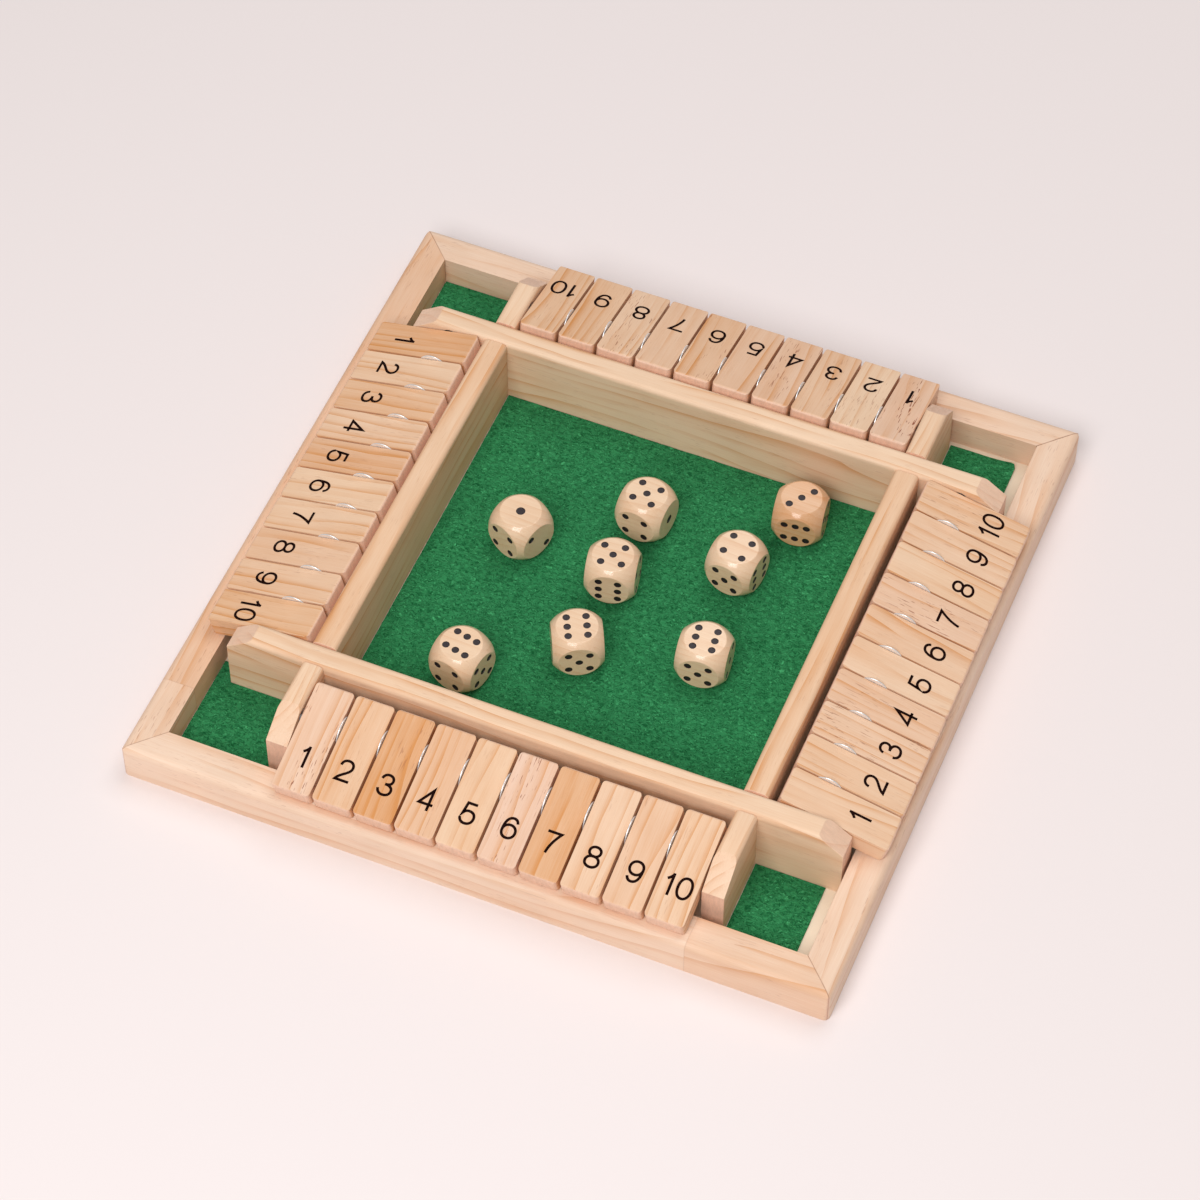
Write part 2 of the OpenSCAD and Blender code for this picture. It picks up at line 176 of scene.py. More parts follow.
class GameColours(bpy.types.PropertyGroup):
    """Colours of the wood, the felt, the metal and the print"""

    pine: tint("Pine", "Pale early wood", (0.90, 0.645, 0.45))
    pine_frame: tint("Frame pine", "The paler wood of the outer frame", (0.90, 0.665, 0.505))
    pine_warm: tint("Warm pine", "The warmest boards and the late wood lines", (0.68, 0.285, 0.085))
    pine_pink: tint("Pink pine", "Boards with a pinkish cast", (0.86, 0.60, 0.47))
    fleck: tint("Fleck", "Resin flecks", (0.32, 0.09, 0.04))
    end_wood: tint("End grain", "Sawn ends, where the wood is darker and pinker", (0.82, 0.53, 0.39))
    plywood: tint("Plywood", "Face of the base board", (0.84, 0.68, 0.52))
    die_wood: tint("Die wood", "Varnished wood of the dice", (0.92, 0.665, 0.455))
    felt: tint("Felt", "Ground colour of the felt", (0.002, 0.095, 0.026))
    felt_fibre: tint("Felt fibre", "Paler fibres on the felt", (0.060, 0.40, 0.152))
    steel: tint("Steel", "Zinc on the rods and washers", (0.93, 0.93, 0.94))
    ink: tint("Ink", "Printed numerals", (0.012, 0.002, 0.001))
    paint: tint("Pip paint", "Paint in the pips", (0.022, 0.012, 0.015))
    glue: tint("Glue", "Dried glue squeezed out at a joint", (0.33, 0.13, 0.06))
    floor: tint("Floor", "Table top and backdrop", (0.90, 0.815, 0.805))


class StudioSettings(bpy.types.PropertyGroup):
    """Camera and lamps"""

    azimuth: angle("Azimuth", "Camera's turn round the game, from straight in front", 22.3751)
    height: angle("Height", "Camera's angle above the table", 53.1055)
    roll: angle("Roll", "Camera's turn about its own axis", 0.1556)
    distance: length("Distance", "From the middle of the game to the camera", 1.649236)
    aside: length("Aside", "Camera's shift to its right", -0.005909, lowest=-1.0)
    above: length("Above", "Camera's shift upwards", 0.004398, lowest=-1.0)
    lens: FloatProperty(name="Lens", description="Focal length in millimetres", default=120.325, min=10.0)
    key_power: power("Key lamp", "Power of the soft lamp in front", 21.5)
    top_power: power("Top lamp", "Power of the lamp overhead", 13.6)
    sky: FloatProperty(name="Room light", description="Strength of the even light", default=0.29, min=0.0)
    seed: IntProperty(name="Seed", description="Shifts every wood pattern", default=3)


# Modelling by hand

# Edges are sanded round above the first angle, and shaded soft below the second
SHARP_EDGE = math.radians(35.0)
SOFT_EDGE = math.radians(38.0)

# What counts as one point, in metres, and as one flat face, when loose triangles are merged
SAME_PLACE = 0.000003
SAME_FACE = math.radians(0.4)


def pick(*objects):
    """Leaves edit mode and selects only these objects, the first of them active."""
    if bpy.context.mode != "OBJECT":
        bpy.ops.object.mode_set(mode="OBJECT")
    bpy.ops.object.select_all(action="DESELECT")
    for piece in objects:
        piece.select_set(True)
    if objects:
        bpy.context.view_layer.objects.active = objects[0]


def added(name):
    """The object that an add operator has just made, named."""
    piece = bpy.context.object
    piece.name = name
    piece.data.name = name
    return piece


def use_modifier(piece, kind, **settings):
    """Puts one modifier on a piece and applies it."""
    pick(piece)
    modifier = piece.modifiers.new(kind.title(), kind)
    for key, value in settings.items():
        setattr(modifier, key, value)
    bpy.ops.object.modifier_apply(modifier=modifier.name)
    return piece


def place_mesh(piece, matrix):
    """Moves a piece's mesh and leaves its object at the origin."""
    piece.data.transform(matrix)
    piece.data.update()
    return piece


def settle(piece):
    """Applies a piece's own place, turn and size to its mesh."""
    pick(piece)
    bpy.ops.object.transform_apply(location=True, rotation=True, scale=True)
    return piece


def copied(piece, name):
    """A copy of a piece with its own mesh."""
    made = bpy.data.objects.new(name, piece.data.copy())
    made.data.name = name
    bpy.context.scene.collection.objects.link(made)
    return made


def discard(*objects):
    """Removes helper objects that have done their work."""
    for piece in objects:
        bpy.data.objects.remove(piece)


def combine(piece, other, operation):
    """Unites, intersects or cuts a piece with another one, which is used up."""
    use_modifier(piece, "BOOLEAN", operation=operation, solver="EXACT", object=other)
    discard(other)
    return piece


def smooth(piece):
    """Smooth shading over soft edges, with the flat faces kept flat."""
    pick(piece)
    bpy.ops.object.shade_smooth_by_angle(angle=SOFT_EDGE)
    use_modifier(piece, "WEIGHTED_NORMAL", keep_sharp=True)
    return piece


def merged_node(node, name):
    """A copy of a CAD node whose loose triangles are merged into whole faces."""
    piece = copied(frame["nodes"][node], name)
    piece.data.materials.clear()
    pick(piece)
    bpy.ops.mesh.customdata_custom_splitnormals_clear()
    bpy.ops.object.mode_set(mode="EDIT")
    bpy.ops.mesh.select_all(action="SELECT")
    bpy.ops.mesh.remove_doubles(threshold=SAME_PLACE)
    bpy.ops.mesh.dissolve_limited(angle_limit=SAME_FACE)
    bpy.ops.object.mode_set(mode="OBJECT")
    return piece


def bevelled(piece, radius, sharp=SHARP_EDGE):
    """Rounds every edge that turns by more than an angle."""
    return use_modifier(piece, "BEVEL", limit_method="ANGLE", angle_limit=sharp, width=radius, segments=3)


def eased(piece, radius):
    """Rounds every sharp edge, as sanding does, and shades the piece."""
    return smooth(bevelled(piece, radius))


def round_edges(piece, chosen, width, segments):
    """Rounds those edges of a piece that chosen picks out by their two ends."""
    pick(piece)
    bpy.ops.object.mode_set(mode="EDIT")
    bpy.ops.mesh.select_mode(type="EDGE")
    bpy.ops.mesh.select_all(action="DESELECT")
    mesh = bmesh.from_edit_mesh(piece.data)
    for edge in mesh.edges:
        if chosen(*(v.co for v in edge.verts)):
            edge.select_set(True)
    bmesh.update_edit_mesh(piece.data)
    bpy.ops.mesh.bevel(offset=width, segments=segments)
    bpy.ops.mesh.select_mode(type="VERT")
    bpy.ops.object.mode_set(mode="OBJECT")
    return piece


def parted(piece):
    """The loose solids of one piece, as pieces of their own."""
    pick(piece)
    bpy.ops.object.mode_set(mode="EDIT")
    bpy.ops.mesh.select_all(action="SELECT")
    bpy.ops.mesh.separate(type="LOOSE")
    bpy.ops.object.mode_set(mode="OBJECT")
    return list(bpy.context.selected_objects)


def middle(piece):
    """Middle of a piece's box."""
    corners = [Vector(corner) for corner in piece.bound_box]
    return sum(corners, Vector()) / len(corners)


def box_middle(name):
    """Middle of the box of one CAD node."""
    return sum(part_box(name), Vector()) / 2


def hand_over(piece, body, slot, *nodes):
    """The piece rides on a body and stands for CAD nodes, which it hides. Its slot is not used."""
    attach(piece, body)
    if nodes:
        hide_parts(*nodes)
    return piece


def coat(piece, *finishes):
    """Gives a piece these finishes and no others."""
    piece.data.materials.clear()
    for name in finishes:
        piece.data.materials.append(finish(name))
    return piece


# Node trees


def node(tree, kind, inputs=None, **settings):
    """Adds one node. inputs gives for each socket a value or the output that feeds it."""
    made = tree.nodes.new(kind)
    made.location = (190 * (len(tree.nodes) % 12), -260 * (len(tree.nodes) // 12))
    for key, value in settings.items():
        setattr(made, key, value)
    for key, value in (inputs or {}).items():
        if isinstance(value, bpy.types.NodeSocket):
            tree.links.new(value, made.inputs[key])
        else:
            made.inputs[key].default_value = value
    return made


def calc(tree, operation, *values, clamp=False):
    """Output of a Math node."""
    inputs = dict(enumerate(values))
    return node(tree, "ShaderNodeMath", inputs, operation=operation, use_clamp=clamp).outputs[0]


def vector(tree, operation, *values):
    """Output of a Vector Math node."""
    return node(tree, "ShaderNodeVectorMath", dict(enumerate(values)), operation=operation).outputs[0]


def blend_colour(tree, share, first, second, how="MIX"):
    """Output of a Mix Color node."""
    mix = node(tree, "ShaderNodeMix", data_type="RGBA", blend_type=how)
    for socket, value in ((mix.inputs["Factor"], share), (mix.inputs[6], first), (mix.inputs[7], second)):
        if isinstance(value, bpy.types.NodeSocket):
            tree.links.new(value, socket)
        else:
            socket.default_value = value
    return mix.outputs[2]


def step(tree, value, low, high):
    """0 below low, 1 above high, smooth in between."""
    inputs = {"Value": value, "From Min": low, "From Max": high}
    return node(tree, "ShaderNodeMapRange", inputs, interpolation_type="SMOOTHSTEP").outputs["Result"]


def patches(tree, position, size, detail=2.0, roughness=0.5):
    """Noise whose patches have the given size along X, Y and Z, in the position's own unit."""
    scaled = vector(tree, "MULTIPLY", position, tuple(1.0 / s for s in size))
    inputs = {"Vector": scaled, "Scale": 1.0, "Detail": detail, "Roughness": roughness}
    return node(tree, "ShaderNodeTexNoise", inputs).outputs[0]


def sway(tree, noise_value, amount):
    """A noise about 0, its whole swing this wide."""
    return calc(tree, "MULTIPLY", calc(tree, "SUBTRACT", noise_value, 0.5), amount)


def toned(tree, colour, tone):
    """A colour made darker or lighter by a factor."""
    grey = vector(tree, "MULTIPLY", (1.0, 1.0, 1.0), tone)
    return blend_colour(tree, 1.0, colour, grey, "MULTIPLY")


def axis(tree, place, letter):
    """One coordinate of a place."""
    return node(tree, "ShaderNodeSeparateXYZ", {0: place}).outputs[letter]


def feed(tree, sockets, **outputs):
    """Links each output to the socket of that name."""
    for label, output in outputs.items():
        tree.links.new(output, sockets[label.replace("_", " ")])


def hue(name):
    """A colour setting with full cover."""
    return (*getattr(bpy.context.scene.game_colours, name), 1.0)


# Plain defaults of a group's sockets, all of which every use sets
ORIGIN = (0.0, 0.0, 0.0)
TINT = (0.8, 0.6, 0.4, 1.0)


def group(name, inputs, outputs):
    """A new shader node group with named sockets. A default's type gives the socket's type."""
    tree = bpy.data.node_groups.new(name, "ShaderNodeTree")
    kinds = {1: "NodeSocketFloat", 3: "NodeSocketVector", 4: "NodeSocketColor"}
    for label, value in inputs.items():
        size = len(value) if hasattr(value, "__len__") else 1
        tree.interface.new_socket(label, in_out="INPUT", socket_type=kinds[size]).default_value = value
    for label, size in outputs.items():
        tree.interface.new_socket(label, in_out="OUTPUT", socket_type=kinds[size])
    return tree, tree.nodes.new("NodeGroupInput").outputs, tree.nodes.new("NodeGroupOutput").inputs


def use_group(tree, name, **inputs):
    """Places a shared group, made at its first use, and returns its outputs."""
    made = bpy.data.node_groups.get(name) or GROUPS[name]()
    named = {label.replace("_", " "): value for label, value in inputs.items()}
    return node(tree, "ShaderNodeGroup", named, node_tree=made).outputs


def pine_grain():
    """Sawn pine. Position is in millimetres with X along the plank."""
    tree, given, result = group(
        "pine_grain",
        {
            "Position": ORIGIN,
            "Pale": TINT,
            "Warm": TINT,
            "Fleck": TINT,
            "Warmth": 0.4,
            "Ring spacing": 5.0,
            "Ring strength": 0.5,
            "Fleck amount": 0.3,
        },
        {"Color": 4, "Roughness": 1, "Height": 1},
    )
    position = given["Position"]
    drift = sway(tree, patches(tree, position, (150, 30, 30), 1.0), 26.0)
    wander = sway(tree, patches(tree, position, (45, 9, 9), 2.0), 2.6)
    depth = calc(tree, "MULTIPLY_ADD", axis(tree, position, "Z"), 0.85, axis(tree, position, "Y"))
    bent = calc(tree, "ADD", calc(tree, "ADD", depth, drift), wander)
    ring = calc(tree, "DIVIDE", bent, given["Ring spacing"])
    late = calc(tree, "POWER", calc(tree, "FRACT", ring), 3.2)
    soft = step(tree, patches(tree, position, (70, 7, 7), 1.0), 0.34, 0.62)
    lines = calc(tree, "MULTIPLY", calc(tree, "MULTIPLY", late, soft), given["Ring strength"])
    cloud = sway(tree, patches(tree, position, (60, 11, 11), 2.0), 0.55)
    fibre = patches(tree, position, (16, 0.42, 0.42), 3.0, 0.62)
    tone = calc(tree, "ADD", given["Warmth"], cloud)
    share = calc(tree, "ADD", tone, calc(tree, "ADD", lines, sway(tree, fibre, 0.5)), clamp=True)
    wood = blend_colour(tree, share, given["Pale"], given["Warm"])
    dash = step(tree, patches(tree, position, (5.2, 0.5, 0.6), 1.0), 0.63, 0.69)
    crowd = step(tree, patches(tree, position, (30, 8, 8), 1.0), 0.45, 0.58)
    mark = calc(tree, "MULTIPLY", calc(tree, "MULTIPLY", dash, crowd), given["Fleck amount"], clamp=True)
    flecked = blend_colour(tree, mark, wood, given["Fleck"])
    rough = calc(tree, "MULTIPLY_ADD", fibre, 0.16, 0.44)
    height = calc(tree, "SUBTRACT", fibre, calc(tree, "MULTIPLY", mark, 0.8))
    feed(tree, result, Color=flecked, Roughness=rough, Height=height)
    return tree


def end_grain():
    """Turns a face into sawn end grain where it looks along the plank."""
    tree, given, result = group(
        "end_grain",
        {"Position": ORIGIN, "Facing": ORIGIN, "Color": TINT, "End": TINT, "Strength": 1.0},
        {"Color": 4},
    )
    along = calc(tree, "ABSOLUTE", axis(tree, given["Facing"], "X"))
    mask = calc(tree, "MULTIPLY", step(tree, along, 0.42, 0.72), given["Strength"], clamp=True)
    pores = patches(tree, given["Position"], (0.4, 0.4, 0.4), 3.0, 0.6)
    bands = patches(tree, given["Position"], (4.0, 1.1, 4.0), 2.0)
    tone = calc(tree, "MULTIPLY_ADD", calc(tree, "ADD", pores, bands), 0.36, 0.66)
    sawn = toned(tree, given["End"], tone)
    feed(tree, result, Color=blend_colour(tree, mask, given["Color"], sawn))
    return tree


def finger_joint():
    """From At along the plank on, the wood is another board's. Position and Place are in millimetres."""
    tree, given, result = group(
        "finger_joint",
        {"Position": ORIGIN, "Place": 0.0, "At": 0.0},
        {"Position": 3, "Line": 1, "Beyond": 1},
    )
    other_board = (310.0, 47.0, 13.0)
    beyond = calc(tree, "GREATER_THAN", given["Place"], given["At"])
    moved = vector(tree, "MULTIPLY_ADD", other_board, beyond, given["Position"])
    off = calc(tree, "ABSOLUTE", calc(tree, "SUBTRACT", given["Place"], given["At"]))
    line = calc(tree, "SUBTRACT", 1.0, step(tree, off, 0.10, 0.35))
    feed(tree, result, Position=moved, Line=line, Beyond=beyond)
    return tree


def mitre_lines():
    """Darkens the thin glued joint where two rails meet at the diagonal. Position is in millimetres."""
    tree, given, result = group(
        "mitre_lines", {"Position": ORIGIN, "Color": TINT, "Glue": TINT, "Strength": 1.0}, {"Color": 4}
    )
    position = given["Position"]
    sides = vector(tree, "ABSOLUTE", position)
    apart = calc(tree, "SUBTRACT", axis(tree, sides, "X"), axis(tree, sides, "Y"))
    wander = sway(tree, patches(tree, position, (6, 6, 6)), 0.22)
    off = calc(tree, "ABSOLUTE", calc(tree, "ADD", apart, wander))
    line = calc(tree, "SUBTRACT", 1.0, step(tree, off, 0.12, 0.42))
    worn = calc(tree, "MULTIPLY", patches(tree, position, (5, 5, 5)), 1.2, clamp=True)
    mask = calc(tree, "MULTIPLY", calc(tree, "MULTIPLY", line, worn), given["Strength"])
    feed(tree, result, Color=blend_colour(tree, mask, given["Color"], given["Glue"]))
    return tree


def own_board():
    """Moves the grain of each tile to a place of its own, so that no two tiles match."""
    tree, given, result = group("own_board", {"Position": ORIGIN, "Tile": 0.0, "Row": 0.0}, {"Position": 3})
    number = calc(tree, "MULTIPLY_ADD", given["Row"], 17.3, calc(tree, "ROUND", given["Tile"]))
    shift = node(tree, "ShaderNodeTexWhiteNoise", {"W": number}, noise_dimensions="1D").outputs["Color"]
    moved = vector(tree, "MULTIPLY_ADD", shift, (900.0, 900.0, 900.0), given["Position"])
    feed(tree, result, Position=moved)
    return tree


def hand_marks():
    """Slow changes of tone that handling and uneven sanding leave on any surface."""
    tree, given, result = group(
        "hand_marks", {"Position": ORIGIN, "Color": TINT, "Size": 20.0, "Amount": 0.08}, {"Color": 4}
    )
    scaled = vector(tree, "DIVIDE", given["Position"], given["Size"])
    cloud = node(tree, "ShaderNodeTexNoise", {"Vector": scaled, "Scale": 1.0, "Detail": 3.0}).outputs[0]
    light = calc(tree, "MULTIPLY_ADD", sway(tree, cloud, 2.0), given["Amount"], 1.0)
    feed(tree, result, Color=toned(tree, given["Color"], light))
    return tree


# Turn in degrees and patch size in millimetres of the felt's three layers of fibres
FIBRE_LAYERS = ((8, (2.6, 0.50, 1.0)), (-20, (2.2, 0.46, 1.0)), (58, (1.6, 0.44, 1.0)))


def felt_fibres():
    """Pressed wool: short pale fibres that cross each other. Position is in millimetres."""
    tree, given, result = group(
        "felt_fibres", {"Position": ORIGIN, "Ground": TINT, "Fibre": TINT}, {"Color": 4, "Height": 1}
    )
    position = given["Position"]
    slow = vector(tree, "MULTIPLY", position, (0.12, 0.12, 0.12))
    warp = node(tree, "ShaderNodeTexNoise", {"Vector": slow}).outputs["Color"]
    bent = vector(tree, "MULTIPLY_ADD", warp, (4.0, 4.0, 0.0), position)
    layers = []
    for degrees, size in FIBRE_LAYERS:
        turn = (0.0, 0.0, math.radians(degrees))
        turned = node(tree, "ShaderNodeMapping", {"Vector": bent, "Rotation": turn}).outputs[0]
        layers.append(step(tree, patches(tree, turned, size, 1.0), 0.46, 0.62))
    crossing = calc(tree, "MULTIPLY", layers[2], 0.6)
    hair = calc(tree, "MAXIMUM", calc(tree, "MAXIMUM", layers[0], layers[1]), crossing)
    bright = step(tree, patches(tree, bent, (1.9, 0.5, 1.0), 1.0), 0.60, 0.68)
    tuft = sway(tree, patches(tree, position, (5.0, 1.6, 5.0), 3.0), 0.5)
    share = calc(tree, "MULTIPLY_ADD", hair, 0.46, tuft)
    share = calc(tree, "MULTIPLY_ADD", bright, 0.6, share, clamp=True)
    wool = blend_colour(tree, share, given["Ground"], given["Fibre"])
    feed(tree, result, Color=wool, Height=share)
    return tree


GROUPS = {
    maker.__name__: maker
    for maker in (pine_grain, end_grain, finger_joint, mitre_lines, own_board, hand_marks, felt_fibres)
}


# Finishes


def new_material(name, **shader):
    """A material with one Principled BSDF, whose even values are set on its own sockets."""
    material = bpy.data.materials.new(name)
    material.use_nodes = True
    tree = material.node_tree
    principled = tree.nodes["Principled BSDF"]
    for label, value in shader.items():
        principled.inputs[label.replace("_", " ")].default_value = value
    coordinates = node(tree, "ShaderNodeTexCoord").outputs
    return material, tree, principled, coordinates


def millimetres(tree, coordinates, turn=ORIGIN, shift=ORIGIN):
    """Object coordinates turned onto a plank's own axes, in millimetres."""
    turned = node(tree, "ShaderNodeMapping", {"Vector": coordinates["Object"], "Rotation": turn})
    return vector(tree, "MULTIPLY_ADD", turned.outputs[0], (1000.0,) * 3, shift)


def looks(tree, coordinates, turn):
    """Which way the surface looks, on a plank's own axes."""
    inputs = {"Vector": coordinates["Normal"], "Rotation": turn}
    return node(tree, "ShaderNodeMapping", inputs, vector_type="VECTOR").outputs[0]


def marked(tree, position, colour, size, amount):
    """A colour with the marks of handling."""
    marks = use_group(tree, "hand_marks", Position=position, Color=colour, Size=size, Amount=amount)
    return marks["Color"]


def bump(tree, principled, height, depth, strength=1.0):
    """Lets a surface rise and fall with a height between 0 and 1. The depth is in metres."""
    inputs = {"Height": height, "Distance": depth, "Strength": strength}
    feed(tree, principled.inputs, Normal=node(tree, "ShaderNodeBump", inputs).outputs[0])


def plank_axes(along, up=Vector((0.0, 0.0, 1.0))):
    """Turn that takes object coordinates to a plank's own: X along its grain, Z out of its broad face."""
    side = up.cross(along)
    return Matrix((along, side, up)).to_euler("XYZ")


# Each kind of plank: grain direction, warmth, ring spacing, ring strength, flecks, place in the pattern
WOODS = {
    "frame_front": ("X", 0.06, 7.5, 0.42, 0.22, 60.0),
    "frame_back": ("X", 0.12, 6.5, 0.50, 0.22, 250.0),
    "frame_left": ("Y", 0.22, 7.0, 0.42, 0.34, 340.0),
    "frame_right": ("Y", 0.12, 7.5, 0.42, 0.25, 520.0),
    "long_front": ("X", 0.10, 6.5, 0.70, 0.16, 410.0),
    "long_back": ("X", 0.06, 5.5, 0.62, 0.16, 640.0),
    "tray_wall": ("Y", 0.26, 6.0, 0.62, 0.16, 880.0),
    "bracket": ("Y", 0.14, 4.0, 0.50, 0.15, 730.0),
}

# How far each step of the seed moves the pattern, in millimetres
SEED_STEP = 37.0

# Where along itself a rail is finger-jointed from two boards, in millimetres
JOINED_AT = {"frame_front": 90.5, "frame_left": -112.5}

# How much warmer the second of the two boards is, and how strongly the joint's line shows
JOINED_WARMTH = 0.16
JOINED_LINE = 0.16


def pine(name, pale, direction, warmth, rings, ring_strength, flecks, shift, ends=1.0, **shader):
    """Pine whose grain follows one direction."""
    material, tree, principled, coordinates = new_material(name, **shader)
    turn = plank_axes(Vector((direction == "X", direction == "Y", 0.0)))
    start = bpy.context.scene.studio.seed * SEED_STEP + shift
    position = millimetres(tree, coordinates, turn, (start, shift * 0.7, shift * 1.3))
    joint = JOINED_AT.get(name.removesuffix("_wood"))
    if joint is not None:
        place = axis(tree, millimetres(tree, coordinates, turn), "X")
        joined = use_group(tree, "finger_joint", Position=position, Place=place, At=joint)
        position = joined["Position"]
        warmth = calc(tree, "MULTIPLY_ADD", joined["Beyond"], JOINED_WARMTH, warmth)
    grain = use_group(
        tree, "pine_grain", Position=position, Pale=hue(pale), Warm=hue("pine_warm"), Fleck=hue("fleck"),
        Warmth=warmth, Ring_spacing=rings, Ring_strength=ring_strength, Fleck_amount=flecks,
    )
    wood = grain["Color"]
    if joint is not None:
        line = calc(tree, "MULTIPLY", joined["Line"], JOINED_LINE)
        wood = blend_colour(tree, line, wood, hue("glue"))
    sawn = use_group(
        tree, "end_grain", Position=position, Facing=looks(tree, coordinates, turn), Color=wood,
        End=hue("end_wood"), Strength=ends,
    )
    handled = marked(tree, position, sawn["Color"], size=24.0, amount=0.07)
    if name.startswith("frame"):
        glued = use_group(
            tree, "mitre_lines", Position=millimetres(tree, coordinates), Color=handled,
            Glue=hue("glue"), Strength=0.8,
        )
        handled = glued["Color"]
    feed(tree, principled.inputs, Base_Color=handled, Roughness=grain["Roughness"])
    bump(tree, principled, grain["Height"], depth=0.00006)
    return material


def tile_ends(row):
    """Where a row starts and ends along itself, and where each tile starts, as a share of that length."""
    along = Matrix.Rotation(ROWS.index(row) * QUARTER, 3, "Z") @ Vector((1.0, 0.0, 0.0))
    spans = [sorted(corner.dot(along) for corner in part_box(f"tile_{row}_{number}")) for number in TILES]
    start, end = spans[0][0] - MILLI, spans[-1][1] + MILLI
    gaps = [start] + [(before[1] + after[0]) / 2 for before, after in zip(spans, spans[1:])]
    return start, end, [(gap - start) / (end - start) for gap in gaps]


def tile_pine(name):
    """Wood of one row of tiles: each tile is cut from a board of its own."""
    row = name.removeprefix("tile_wood_")
    turn = row_turn(row)
    axes = plank_axes(turn @ Vector((0.0, -1.0, 0.0)), turn @ Vector((0.0, 0.0, 1.0)))
    material, tree, principled, coordinates = new_material(name, Specular_IOR_Level=0.42)
    here = millimetres(tree, coordinates, axes)
    start, end, gaps = tile_ends(row)
    off = calc(tree, "SUBTRACT", axis(tree, here, "Y"), start / MILLI)
    ramp = node(tree, "ShaderNodeValToRGB", {0: calc(tree, "DIVIDE", off, (end - start) / MILLI)})
    ramp.color_ramp.interpolation = "CONSTANT"
    stops = ramp.color_ramp.elements
    for number, (place, amounts) in enumerate(zip(gaps, TILE_WOOD[row])):
        stop = stops[number] if number < 2 else stops.new(place)
        stop.position = place
        stop.color = (*amounts, number / len(TILES))
    warmth, flecks, pinkness = node(tree, "ShaderNodeSeparateColor", {0: ramp.outputs[0]}).outputs
    number = calc(tree, "MULTIPLY", ramp.outputs[1], float(len(TILES)))
    board = use_group(tree, "own_board", Position=here, Tile=number, Row=float(ROWS.index(row)))
    grain = use_group(
        tree, "pine_grain", Position=board["Position"],
        Pale=blend_colour(tree, pinkness, hue("pine"), hue("pine_pink")), Warm=hue("pine_warm"),
        Fleck=hue("fleck"), Warmth=calc(tree, "MULTIPLY", warmth, 0.74), Ring_spacing=4.8,
        Ring_strength=0.62, Fleck_amount=flecks,
    )
    sawn = use_group(
        tree, "end_grain", Position=board["Position"], Facing=looks(tree, coordinates, axes),
        Color=grain["Color"], End=hue("end_wood"), Strength=0.9,
    )
    handled = marked(tree, board["Position"], sawn["Color"], size=12.0, amount=0.05)
    feed(tree, principled.inputs, Base_Color=handled, Roughness=grain["Roughness"])
    bump(tree, principled, grain["Height"], depth=0.00005)
    return material


def plank_wood(name):
    """Finish of one kind of plank."""
    kind = name.removesuffix("_wood")
    pale = "pine_frame" if kind.startswith("frame") else "pine"
    return pine(name, pale, *WOODS[kind], Specular_IOR_Level=0.42)


def board_plywood(name):
    """Pale plywood that shows little grain."""
    return pine(
        name, "plywood", "Y", warmth=0.05, rings=9.0, ring_strength=0.22, flecks=0.05, shift=900.0,
        ends=0.6, Specular_IOR_Level=0.35,
    )


def die_varnish(name):
    """Pale wood under a clear varnish. The third die is cut from warmer wood."""
    return pine(
        name, "die_wood", "X", warmth=0.60 if name.endswith("warm") else 0.10, rings=3.4,
        ring_strength=0.26, flecks=0.10, shift=150.0, ends=0.12,
        Coat_Weight=0.9, Coat_Roughness=0.13, Specular_IOR_Level=0.5,
    )


def felt(name):
    """Green craft felt with a faint sheen."""
    material, tree, principled, coordinates = new_material(
        name, Roughness=0.95, Specular_IOR_Level=0.10, Sheen_Weight=0.10, Sheen_Roughness=0.6,
        Sheen_Tint=(0.55, 0.95, 0.6, 1.0),
    )
    position = millimetres(tree, coordinates)
    fibres = use_group(
        tree, "felt_fibres", Position=position, Ground=hue("felt"), Fibre=hue("felt_fibre")
    )
    handled = marked(tree, position, fibres["Color"], size=30.0, amount=0.10)
    feed(tree, principled.inputs, Base_Color=handled)
    bump(tree, principled, fibres["Height"], depth=0.00025, strength=0.8)
    return material


def bright_steel(name):
    """Zinc-plated steel, drawn along the rods."""
    material, tree, principled, coordinates = new_material(name, Metallic=0.55)
    position = millimetres(tree, coordinates)
    brushed = patches(tree, position, (0.9, 0.9, 0.12), 2.0)
    rough = calc(tree, "MULTIPLY_ADD", brushed, 0.16, 0.24)
    handled = marked(tree, position, hue("steel"), size=3.0, amount=0.12)
    feed(tree, principled.inputs, Base_Color=handled, Roughness=rough)
    bump(tree, principled, brushed, depth=0.00001)
    return material


def dark_paint(name):
    """Print on the tiles, or thicker and glossier paint in the pips."""
    colour, gloss, smoothest, depth = "ink", 0.05, 0.45, 0.00001
    if name == "pip_paint":
        colour, gloss, smoothest, depth = "paint", 0.5, 0.22, 0.00003
    material, tree, principled, coordinates = new_material(name, Specular_IOR_Level=gloss)
    position = millimetres(tree, coordinates)
    grit = patches(tree, position, (0.25, 0.25, 0.25), 2.0)
    rough = calc(tree, "MULTIPLY_ADD", grit, 0.25, smoothest)
    handled = marked(tree, position, hue(colour), size=0.8, amount=0.5)
    feed(tree, principled.inputs, Base_Color=handled, Roughness=rough)
    bump(tree, principled, grit, depth)
    return material


FINISHES = {
    **{f"tile_wood_{row}": tile_pine for row in ROWS},
    **{f"{kind}_wood": plank_wood for kind in WOODS},
    "plywood": board_plywood,
    "die_wood_pale": die_varnish,
    "die_wood_warm": die_varnish,
    "green_felt": felt,
    "bright_steel": bright_steel,
    "numeral_ink": dark_paint,
    "pip_paint": dark_paint,
}


def finish(name):
    """The material of this name, made at its first use."""
    return bpy.data.materials.get(name) or FINISHES[name](name)


# Tiles and numerals


